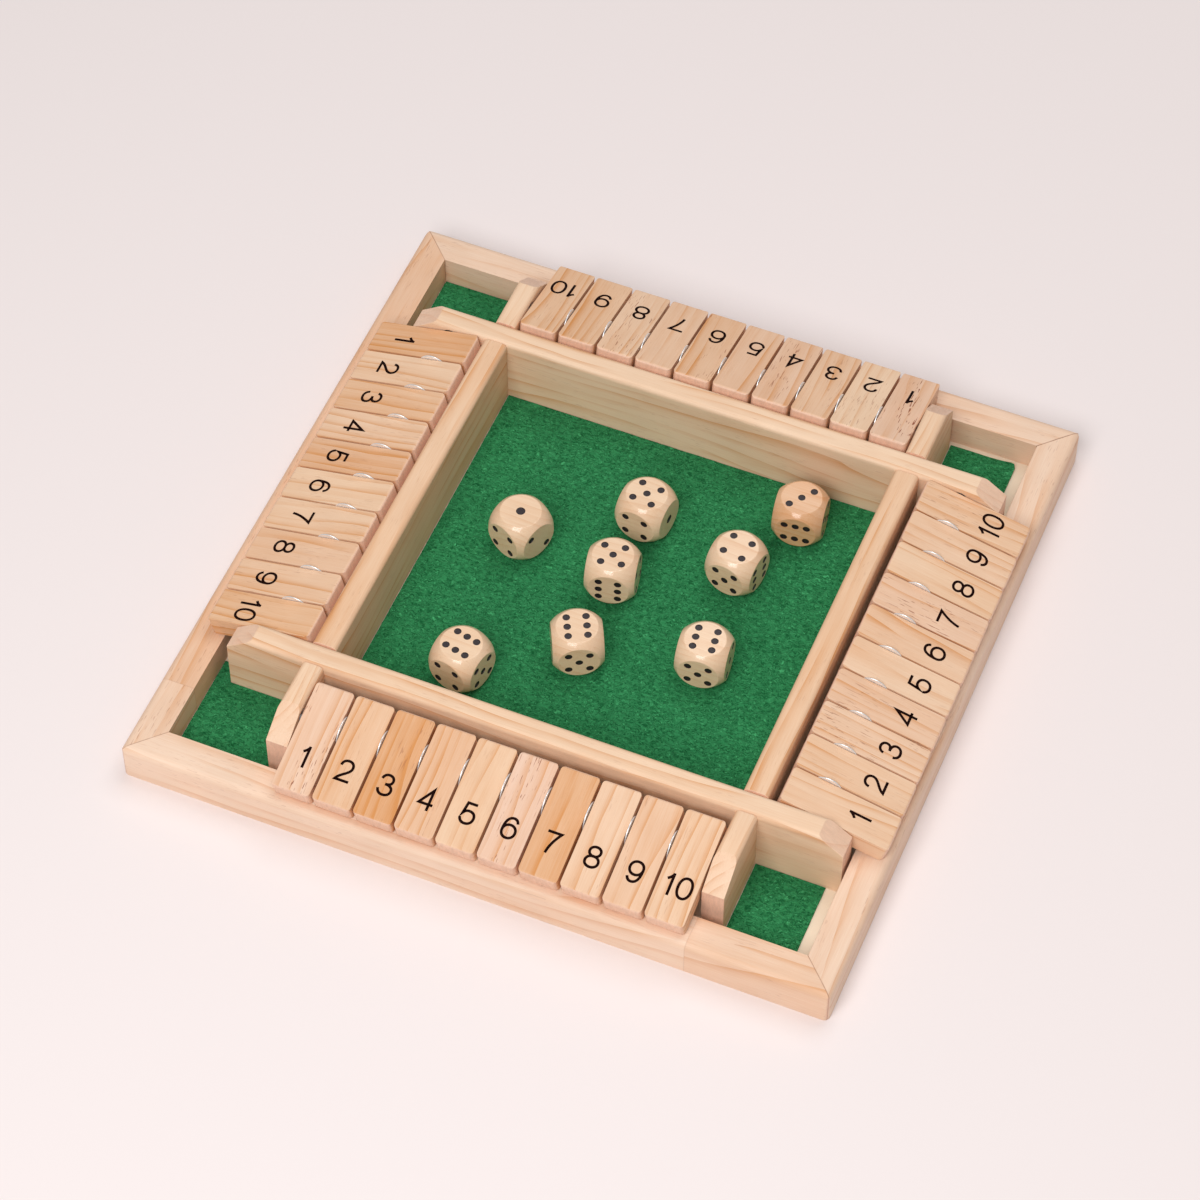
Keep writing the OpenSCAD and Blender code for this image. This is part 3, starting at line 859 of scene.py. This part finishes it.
def tile_slope():
    """How far a resting tile leans down outwards, from the broad upper face of a front tile."""
    faces = [f for f in frame["nodes"]["tile_front_5"].data.polygons if f.normal.z > 0.5]
    normal = max(faces, key=lambda face: face.area).normal
    return math.atan2(-normal.y, normal.z)


def row_turn(row):
    """Turn from a level tile, outer end towards -Y, to a resting tile of a row."""
    turn = Matrix.Rotation(ROWS.index(row) * QUARTER, 3, "Z")
    return turn @ Matrix.Rotation(tile_slope(), 3, "X")


def tile_place(row, number):
    """Where a level tile about its rod goes: its row's turn, its rod and its own place along the row."""
    rod = Vector(JOINTS[f"tile_{row}_{number}_hinge"]["pos_m"])
    along = 0 if row in ("front", "back") else 1
    rod[along] = box_middle(f"tile_{row}_{number}")[along]
    return Matrix.Translation(rod) @ row_turn(row).to_4x4()


def curve_through(start, *runs, steps=9):
    """Points along a stroke: a run is one point for a straight line, or three for a curve."""
    points = [Vector(start)]
    for run in runs:
        if not hasattr(run[0], "__len__"):
            points.append(Vector(run))
            continue
        a, (b, c, d) = points[-1], map(Vector, run)
        for i in range(1, steps + 1):
            t = i / steps
            points.append(a * (1 - t) ** 3 + b * 3 * t * (1 - t) ** 2 + c * 3 * t * t * (1 - t) + d * t**3)
    return points, False


def loop_round(x, y, across, up, fullness, steps=40):
    """Points round a closed stroke. At a fullness of 2 it is an ellipse, and above that fuller."""
    points = []
    for i in range(steps):
        a = 2 * math.pi * i / steps
        c, s = math.cos(a), math.sin(a)
        out_x = across * math.copysign(abs(c) ** (2 / fullness), c)
        out_y = up * math.copysign(abs(s) ** (2 / fullness), s)
        points.append(Vector((x + out_x, y + out_y)))
    return points, True


def half_turn(stroke):
    """A stroke turned upside down."""
    points, closed = stroke
    return [Vector((1 - p.x, 1 - p.y)) for p in points], closed


# A six, which is also a nine upside down
SIX = (
    loop_round(0.5, 0.325, 0.5, 0.325, 2.1),
    curve_through(
        (0.95, 0.78), ((0.88, 0.93), (0.75, 1.0), (0.55, 1.0)), ((0.2, 1.0), (0.0, 0.78), (0.0, 0.36))
    ),
)

# Strokes of each digit in a box 1 wide and 1 high
STROKES = {
    "0": (loop_round(0.5, 0.5, 0.5, 0.5, 2.2),),
    "1": (
        curve_through((0.62, 1.05), (0.62, -0.05)),
        curve_through((0.24, 0.73), ((0.40, 0.79), (0.54, 0.88), (0.62, 1.0))),
    ),
    "2": (
        curve_through(
            (0.05, 0.72), ((0.06, 0.90), (0.24, 1.0), (0.51, 1.0)), ((0.79, 1.0), (0.96, 0.88), (0.96, 0.71)),
            ((0.96, 0.42), (0.20, 0.30), (0.0, 0.0)), (1.05, 0.0),
        ),
    ),
    "3": (
        curve_through(
            (0.05, 0.76), ((0.09, 0.91), (0.25, 1.0), (0.47, 1.0)), ((0.74, 1.0), (0.90, 0.89), (0.90, 0.76)),
            ((0.90, 0.61), (0.74, 0.53), (0.40, 0.53)),
        ),
        curve_through(
            (0.40, 0.53), ((0.80, 0.53), (1.0, 0.43), (1.0, 0.27)), ((1.0, 0.10), (0.79, 0.0), (0.49, 0.0)),
            ((0.23, 0.0), (0.04, 0.10), (0.0, 0.27)),
        ),
    ),
    "4": (
        curve_through((0.76, -0.05), (0.76, 1.0), (0.0, 0.27), (1.06, 0.27)),
    ),
    "5": (
        curve_through(
            (0.93, 1.0), (0.21, 1.0), (0.09, 0.47), ((0.18, 0.57), (0.33, 0.63), (0.50, 0.63)),
            ((0.80, 0.63), (1.0, 0.52), (1.0, 0.33)), ((1.0, 0.13), (0.80, 0.0), (0.48, 0.0)),
            ((0.22, 0.0), (0.04, 0.10), (0.0, 0.26)),
        ),
    ),
    "6": SIX,
    "7": (curve_through((-0.04, 1.0), (1.0, 1.0), ((0.66, 0.68), (0.40, 0.34), (0.34, -0.05))),),
    "8": (loop_round(0.5, 0.765, 0.42, 0.235, 2.1), loop_round(0.5, 0.27, 0.5, 0.27, 2.1)),
    "9": tuple(half_turn(stroke) for stroke in SIX),
}

# Middle of each of the two digits of a ten, in widths of a digit
TEN = {"1": -0.52, "0": 0.44}


def pen_stroke(points, closed, sizes):
    """One stroke as a thin bar: a wall drawn along its line, thickened to the width of the pen."""
    line = bpy.data.curves.new("stroke", "CURVE")
    line.dimensions, line.fill_mode, line.extrude = "2D", "NONE", sizes.numeral_ink
    spline = line.splines.new("POLY")
    spline.points.add(len(points) - 1)
    wide, high = sizes.numeral_width - sizes.numeral_pen, sizes.numeral_height - sizes.numeral_pen
    for target, point in zip(spline.points, points):
        target.co = ((point.x - 0.5) * wide, (point.y - 0.5) * high, 0.0, 1.0)
    spline.use_cyclic_u = closed
    stroke = bpy.data.objects.new("stroke", line)
    bpy.context.scene.collection.objects.link(stroke)
    pick(stroke)
    bpy.ops.object.convert(target="MESH")
    stroke = bpy.context.object
    use_modifier(stroke, "SOLIDIFY", thickness=sizes.numeral_pen, offset=0.0, use_even_offset=True)
    return stroke


def digit(sign, sizes):
    """One digit, its strokes united into a single flat solid about the origin."""
    first, *others = [pen_stroke(points, closed, sizes) for points, closed in STROKES[sign]]
    for other in others:
        combine(first, other, "UNION")
    first.name = f"digit_{sign}"
    return first


def numeral(number, digits, sizes, name):
    """The numeral of one tile as one piece. The two digits of a ten stand side by side."""
    if number < 10:
        return copied(digits[str(number)], name)
    both = [copied(digits[sign], name) for sign in TEN]
    for made, aside in zip(both, TEN.values()):
        place_mesh(made, Matrix.Translation((aside * sizes.numeral_width, 0.0, 0.0)))
    pick(*both)
    bpy.ops.object.join()
    return both[0]


# Operators


class SHUTBOX_OT_planks(bpy.types.Operator):
    """Sands the edges of the frame, the walls and the brackets and gives each its wood"""

    bl_idname = "shutbox.planks"
    bl_label = "Frame, Walls and Brackets"
    bl_options = {"REGISTER", "UNDO"}

    def execute(self, context):
        sizes = context.scene.game_sizes
        for node_name, wood, slot in (
            ("frame_rails_front_back", "frame", "frame_wood"),
            ("frame_rails_left_right", "frame", "frame_wood"),
            ("rod_brackets", "bracket", "wall_wood"),
            ("long_rail_front", "long_front", "wall_wood"),
            ("long_rail_back", "long_back", "wall_wood"),
            ("tray_wall_left", "tray_wall", "wall_wood"),
            ("tray_wall_right", "tray_wall", "wall_wood"),
        ):
            for plank in parted(merged_node(node_name, "plank")):
                plank.name = self.plank_name(node_name, middle(plank))
                own_wood = wood
                if wood == "frame":
                    self.round_corners(plank)
                    own_wood = "frame_" + plank.name.rsplit("_", 1)[1]
                eased(plank, sizes.plank_round)
                coat(plank, f"{own_wood}_wood")
                hand_over(plank, BOX_BODY, slot, node_name)
        return {"FINISHED"}

    def round_corners(self, rail):
        """Rounds the outer corners of the glued frame at both ends of a rail."""
        low, high = map(Vector, CAD_BOX)
        pick()
        bpy.ops.mesh.primitive_cube_add(size=1.0)
        whole = added("whole_frame")
        whole.scale = (high.x - low.x, high.y - low.y, 1.0)
        settle(whole)
        for (x, y), radius in FRAME_CORNERS.items():
            round_edges(
                whole,
                lambda start, end: start.x * x > 0 and start.y * y > 0 and start.z != end.z,
                radius,
                segments=6,
            )
        combine(rail, whole, "INTERSECT")

    def plank_name(self, node_name, place):
        """A name by kind and place, such as wooden_frame_rail_front."""
        depth = "front" if place.y < 0 else "back"
        side = "left" if place.x < 0 else "right"
        if node_name == "frame_rails_front_back":
            return f"wooden_frame_rail_{depth}"
        if node_name == "frame_rails_left_right":
            return f"wooden_frame_rail_{side}"
        if node_name == "rod_brackets":
            return f"wooden_bracket_{depth}_{side}"
        return f"wooden_{node_name}"


class SHUTBOX_OT_board(bpy.types.Operator):
    """Gives the base board its plywood and the rods their steel; both keep their CAD shape"""

    bl_idname = "shutbox.board"
    bl_label = "Base Board and Rods"
    bl_options = {"REGISTER", "UNDO"}

    def execute(self, context):
        coat(frame["nodes"]["base_board"], "plywood")
        coat(frame["nodes"]["hinge_rods"], "bright_steel")
        return {"FINISHED"}


class SHUTBOX_OT_washers(bpy.types.Operator):
    """Rounds the rims of the washers between the tiles"""

    bl_idname = "shutbox.washers"
    bl_label = "Washers"
    bl_options = {"REGISTER", "UNDO"}

    def execute(self, context):
        sizes = context.scene.game_sizes
        washers = merged_node("washers", "steel_washers")
        eased(washers, sizes.washer_round)
        coat(washers, "bright_steel")
        hand_over(washers, BOX_BODY, "steel", "washers")
        return {"FINISHED"}


class SHUTBOX_OT_tiles(bpy.types.Operator):
    """Sands the forty tiles and gives each row its wood"""

    bl_idname = "shutbox.tiles"
    bl_label = "Tiles"
    bl_options = {"REGISTER", "UNDO"}

    def execute(self, context):
        sizes = context.scene.game_sizes
        for row in ROWS:
            for number in TILES:
                body = f"tile_{row}_{number}"
                tile = merged_node(body, f"wooden_{body}")
                eased(tile, sizes.tile_round)
                coat(tile, f"tile_wood_{row}")
                hand_over(tile, body, "tile_wood", body)
        return {"FINISHED"}


class SHUTBOX_OT_numerals(bpy.types.Operator):
    """Prints the numerals 1 to 10 on each row of tiles, to be read from that row's side"""

    bl_idname = "shutbox.numerals"
    bl_label = "Numerals"
    bl_options = {"REGISTER", "UNDO"}

    def execute(self, context):
        sizes = context.scene.game_sizes
        digits = {sign: digit(sign, sizes) for sign in STROKES}
        half = self.half_thickness()
        on_top = Matrix.Translation((0.0, -sizes.numeral_out, half))
        for row in ROWS:
            for number in TILES:
                print_name = f"numeral_{row}_{number}"
                printed = numeral(number, digits, sizes, print_name)
                place_mesh(printed, tile_place(row, number) @ on_top)
                coat(printed, "numeral_ink")
                hand_over(printed, f"tile_{row}_{number}", None)
        discard(*digits.values())
        return {"FINISHED"}

    def half_thickness(self):
        """From the rod to a tile's upper face."""
        away = tile_place("front", 5).inverted()
        return max((away @ v.co).z for v in frame["nodes"]["tile_front_5"].data.vertices)


# Waves of noise to a metre of felt: in its fine nap, its broad nap and its cut edges
FINE_NAP, BROAD_NAP, CUT_WAVES = 900.0, 160.0, 260.0


class SHUTBOX_OT_felt(bpy.types.Operator):
    """Lays the felt in the tray and in the four corner pockets"""

    bl_idname = "shutbox.felt"
    bl_label = "Felt"
    bl_options = {"REGISTER", "UNDO"}

    def execute(self, context):
        sizes = context.scene.game_sizes
        self.lay("felt_sheet_tray", *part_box("tray_felt"), sizes, "tray_felt")
        for piece in parted(merged_node("corner_felts", "felt")):
            low, high = Vector(piece.bound_box[0]), Vector(piece.bound_box[6])
            depth = "front" if middle(piece).y < 0 else "back"
            side = "left" if middle(piece).x < 0 else "right"
            discard(piece)
            curl = sizes.felt_curl if (depth, side) == ("back", "right") else 0.0
            cut = self.lengthen(depth, low, high, sizes) if side == "left" else None
            self.lay(f"felt_sheet_{depth}_{side}", low, high, sizes, "corner_felts", curl, cut)
        return {"FINISHED"}

    def lengthen(self, depth, low, high, sizes):
        """Takes a left sheet on beside the end of its long rail. Returns the box to cut out for the rail."""
        rail_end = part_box(f"long_rail_{depth}")[0].x - sizes.felt_fit
        if depth == "front":
            cut_from, cut_to = high.y, high.y + sizes.felt_reach
            high.y = cut_to
        else:
            cut_from, cut_to = low.y - sizes.felt_reach, low.y
            low.y = cut_from
        return Vector((rail_end, cut_from, low.z)), Vector((high.x, cut_to, high.z))

    def lay(self, name, low, high, sizes, node_name, curl=0.0, cut=None):
        """One sheet: a fine grid with a nap, uneven edges and perhaps a lifted or a cut-out corner."""
        size, centre = high - low, (high + low) / 2
        cells = [round(extent / sizes.felt_cell) for extent in size.xy]
        pick()
        bpy.ops.mesh.primitive_grid_add(
            x_subdivisions=cells[0], y_subdivisions=cells[1], size=1.0, location=(centre.x, centre.y, high.z)
        )
        sheet = added(name)
        sheet.scale = (size.x, size.y, 1.0)
        settle(sheet)
        for vertex in sheet.data.vertices:
            self.move(vertex, low, high, sizes, curl)
        use_modifier(sheet, "SOLIDIFY", thickness=size.z - sizes.felt_nap, offset=-1.0)
        area = size.x * size.y
        if cut:
            area -= self.cut_out(sheet, *cut)
        pick(sheet)
        bpy.ops.object.shade_smooth_by_angle(angle=math.radians(40.0))
        coat(sheet, "green_felt")
        hand_over(sheet, BOX_BODY, "felt", node_name)

    def cut_out(self, sheet, low, high):
        """Cuts a rectangle out of a sheet's corner and past its sides. Returns the rectangle's area."""
        past = 0.004
        away = math.copysign(past, (low.y + high.y) / 2 - middle(sheet).y)
        aim = (low + high) / 2 + Vector((past / 2, away / 2, 0.0))
        pick()
        bpy.ops.mesh.primitive_cube_add(size=1.0, location=aim)
        knife = added("felt_knife")
        knife.scale = high - low + Vector((past, past, 2 * past))
        combine(sheet, settle(knife), "DIFFERENCE")
        return (high.x - low.x) * (high.y - low.y)

    def move(self, vertex, low, high, sizes, curl):
        """Moves a point of the grid by the nap, the uneven cut and the curl of the loose corner."""
        place = vertex.co.copy()
        fine, broad = noise.noise(place * FINE_NAP), noise.noise(place * BROAD_NAP)
        vertex.co.z -= sizes.felt_nap * (0.5 - 0.3 * fine - 0.2 * broad)
        edge = min(place.x - low.x, high.x - place.x, place.y - low.y, high.y - place.y)
        if edge < sizes.felt_cell / 2:
            inward = Vector(((low.x + high.x) / 2, (low.y + high.y) / 2, place.z)) - place
            uneven = 0.5 + 0.5 * noise.noise(place * CUT_WAVES)
            vertex.co += inward.normalized() * sizes.felt_fray * uneven
        if curl:
            corner = high.xy - Vector((sizes.felt_corner, sizes.felt_corner))
            way = place.xy - corner
            if way.x > 0 and way.y > 0:
                vertex.co.xy = corner + way.normalized() * max(way.x, way.y)
            near = max(0.0, 1.0 - (high.xy - place.xy).length / sizes.felt_lift)
            vertex.co.z += curl * near * near


class SHUTBOX_OT_dice(bpy.types.Operator):
    """Turns the eight dice, a cube cut from a ball, and drills and paints their pips"""

    bl_idname = "shutbox.dice"
    bl_label = "Dice"
    bl_options = {"REGISTER", "UNDO"}

    def execute(self, context):
        sizes = context.scene.game_sizes
        blank, pip = self.blank_die(sizes), self.pip_cutter(sizes)
        for body, (top, front, right, turned, six_lies) in DICE.items():
            die = copied(blank, f"wooden_{body}")
            coat(die, "die_wood_warm" if body == "die_3" else "die_wood_pale", "pip_paint")
            cutters = []
            for number, way in self.faces(top, front, right):
                wide = sizes.one_width / sizes.pip_width if number == 1 else 1.0
                widen = Matrix.Diagonal((wide, wide, 1.0, 1.0))
                for spot in self.spots(number, six_lies, sizes):
                    drill = Matrix.Translation((*spot, self.size(body) / 2)) @ widen
                    cutters.append(place_mesh(copied(pip, "cutter"), way @ drill))
            pick(*cutters)
            bpy.ops.object.join()
            coat(cutters[0], "die_wood_pale", "pip_paint")
            for face in cutters[0].data.polygons:
                face.material_index = 1
            smooth(combine(die, cutters[0], "DIFFERENCE"))
            turn = Matrix.Rotation(math.radians(turned), 4, "Z")
            place_mesh(die, Matrix.Translation(box_middle(body)) @ turn)
            hand_over(die, body, "die_wood", body)
        discard(blank, pip)
        return {"FINISHED"}

    def size(self, body):
        """Height of one die."""
        low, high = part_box(body)
        return high.z - low.z

    def blank_die(self, sizes):
        """A ball with six flats, and the edge of each flat softened."""
        centre = box_middle("die_1")
        ball = max((v.co - centre).length for v in frame["nodes"]["die_1"].data.vertices)
        pick()
        bpy.ops.mesh.primitive_uv_sphere_add(segments=96, ring_count=48, radius=ball)
        die = added("blank_die")
        pick()
        bpy.ops.mesh.primitive_cube_add(size=self.size("die_1"))
        combine(die, added("cube"), "INTERSECT")
        return bevelled(die, sizes.die_edge, math.radians(25.0))

    def pip_cutter(self, sizes):
        """A drill with a softened tip, its tip pip_depth below the origin."""
        pick()
        depth = 2 * sizes.pip_depth
        bpy.ops.mesh.primitive_cylinder_add(vertices=28, radius=sizes.pip_width / 2, depth=depth)
        tip = sizes.pip_depth * 0.6
        return round_edges(added("pip_drill"), lambda start, end: max(start.z, end.z) < 0, tip, segments=2)

    def faces(self, top, front, right):
        """Each face's number and the turn that takes an upper face to it. Opposite faces add up to seven."""
        tipped = Matrix.Rotation(QUARTER, 4, "X")
        for half in (0, 1):
            about = Matrix.Rotation(half * math.pi, 4, "Z")
            yield abs(7 * half - top), Matrix.Rotation(half * math.pi, 4, "X")
            yield abs(7 * half - front), about @ tipped
            yield abs(7 * half - right), about @ Matrix.Rotation(QUARTER, 4, "Z") @ tipped

    def spots(self, number, six_lies, sizes):
        """Places of the pips of a number on a face that looks up."""
        step_out, across, along = sizes.pip_step, sizes.six_across, sizes.six_along
        if number == 6:
            pairs = [(a, b) for a in (-across, across) for b in (-along, 0.0, along)]
            return [(b, a) if six_lies else (a, b) for a, b in pairs]
        spots = [(0.0, 0.0)] if number % 2 else []
        if number == 2:
            spots += [(-step_out, step_out), (step_out, -step_out)]
        if number == 3:
            spots += [(-step_out, -step_out), (step_out, step_out)]
        if number > 3:
            spots += [(a, b) for a in (-step_out, step_out) for b in (-step_out, step_out)]
        return spots


# Place of each lamp and the side of its square, in metres
LAMPS = {"key_lamp": ((0.0, -1.2, 1.45), 1.0), "top_lamp": ((0.15, 0.7, 1.9), 1.3)}


class SHUTBOX_OT_stage(bpy.types.Operator):
    """Sets the pale table top, the soft lamps and the camera"""

    bl_idname = "shutbox.stage"
    bl_label = "Stage"
    bl_options = {"REGISTER", "UNDO"}

    def execute(self, context):
        scene = context.scene
        studio = scene.studio
        self.camera(scene, studio)
        self.table()
        self.lamp("key_lamp", studio.key_power)
        self.lamp("top_lamp", studio.top_power)
        self.room(scene, studio.sky)
        scene.view_settings.view_transform = "Standard"
        return {"FINISHED"}

    def camera(self, scene, studio):
        """The camera stands at the photograph's angle, its place worked out from its turn round the game."""
        a, e = studio.azimuth, studio.height
        back = Vector((math.sin(a) * math.cos(e), -math.cos(a) * math.cos(e), math.sin(e)))
        level = Vector((0.0, 0.0, 1.0)).cross(back).normalized()
        upright = back.cross(level)
        turn = Matrix.Rotation(studio.roll, 3, back)
        right, up = turn @ level, turn @ upright
        pick()
        bpy.ops.object.camera_add()
        eye = bpy.context.object
        eye.name = "photo_camera"
        place = back * studio.distance + right * studio.aside + up * studio.above
        eye.matrix_world = Matrix.Translation(place) @ Matrix((right, up, back)).transposed().to_4x4()
        eye.data.sensor_width = 36.0
        eye.data.lens = studio.lens
        eye.data.clip_start, eye.data.clip_end = 0.05, 40.0
        scene.camera = eye

    def table(self):
        """A table top so wide that its rim lies out of sight."""
        pick()
        bpy.ops.mesh.primitive_circle_add(vertices=96, radius=9.0, fill_type="NGON")
        table = added("table_top")
        material, tree, principled, coordinates = new_material(
            "table_top", Roughness=0.8, Specular_IOR_Level=0.15
        )
        cloud = marked(tree, millimetres(tree, coordinates), hue("floor"), size=700.0, amount=0.01)
        feed(tree, principled.inputs, Base_Color=cloud)
        table.data.materials.append(material)

    def lamp(self, name, power):
        """A square soft lamp that looks at the middle of the game."""
        place, size = LAMPS[name]
        pick()
        bpy.ops.object.light_add(type="AREA", location=place)
        lamp = bpy.context.object
        lamp.name = name
        lamp.data.size, lamp.data.energy = size, power
        lamp.rotation_euler = (-Vector(place)).to_track_quat("-Z", "Y").to_euler()

    def room(self, scene, strength):
        """Even light all round, which the camera sees as the pale backdrop."""
        world = bpy.data.worlds.new("room")
        scene.world = world
        world.use_nodes = True
        tree = world.node_tree
        tree.nodes.clear()
        daylight = (1.0, 0.985, 0.97, 1.0)
        light = node(tree, "ShaderNodeBackground", {"Color": daylight, "Strength": strength})
        seen = node(tree, "ShaderNodeBackground", {"Color": hue("floor"), "Strength": 1.0})
        path = node(tree, "ShaderNodeLightPath").outputs
        rays = calc(tree, "MAXIMUM", path["Is Camera Ray"], path["Is Transmission Ray"])
        mixed = node(tree, "ShaderNodeMixShader", {0: rays, 1: light.outputs[0], 2: seen.outputs[0]})
        node(tree, "ShaderNodeOutputWorld", {"Surface": mixed.outputs[0]})


class SHUTBOX_PT_panel(bpy.types.Panel):
    """Lists the steps that finish the game"""

    bl_label = "Shut the Box"
    bl_idname = "SHUTBOX_PT_panel"
    bl_space_type = "VIEW_3D"
    bl_region_type = "UI"
    bl_category = "Shut the Box"

    def draw(self, context):
        """One button for each step, and all settings below."""
        scene = context.scene
        for step_class in STEPS:
            self.layout.operator(step_class.bl_idname)
        for settings in (scene.game_sizes, scene.game_colours, scene.studio):
            box = self.layout.box()
            for name in settings.__annotations__:
                box.prop(settings, name)


SETTINGS = {"game_sizes": GameSizes, "game_colours": GameColours, "studio": StudioSettings}
STEPS = (
    SHUTBOX_OT_stage,
    SHUTBOX_OT_planks,
    SHUTBOX_OT_board,
    SHUTBOX_OT_washers,
    SHUTBOX_OT_tiles,
    SHUTBOX_OT_numerals,
    SHUTBOX_OT_felt,
    SHUTBOX_OT_dice,
)


def register():
    """Registers the settings, the operators and the panel."""
    for item in (*SETTINGS.values(), *STEPS, SHUTBOX_PT_panel):
        bpy.utils.register_class(item)
    for name, group_class in SETTINGS.items():
        setattr(bpy.types.Scene, name, PointerProperty(type=group_class))


def unregister():
    """Takes back what register has done."""
    for name in SETTINGS:
        delattr(bpy.types.Scene, name)
    for item in reversed((*SETTINGS.values(), *STEPS, SHUTBOX_PT_panel)):
        bpy.utils.unregister_class(item)


def main():
    """Builds the whole game around the frame."""
    register()
    bpy.ops.shutbox.stage()
    bpy.ops.shutbox.planks()
    bpy.ops.shutbox.board()
    bpy.ops.shutbox.washers()
    bpy.ops.shutbox.tiles()
    bpy.ops.shutbox.numerals()
    bpy.ops.shutbox.felt()
    bpy.ops.shutbox.dice()


if __name__ == "__main__":
    main()
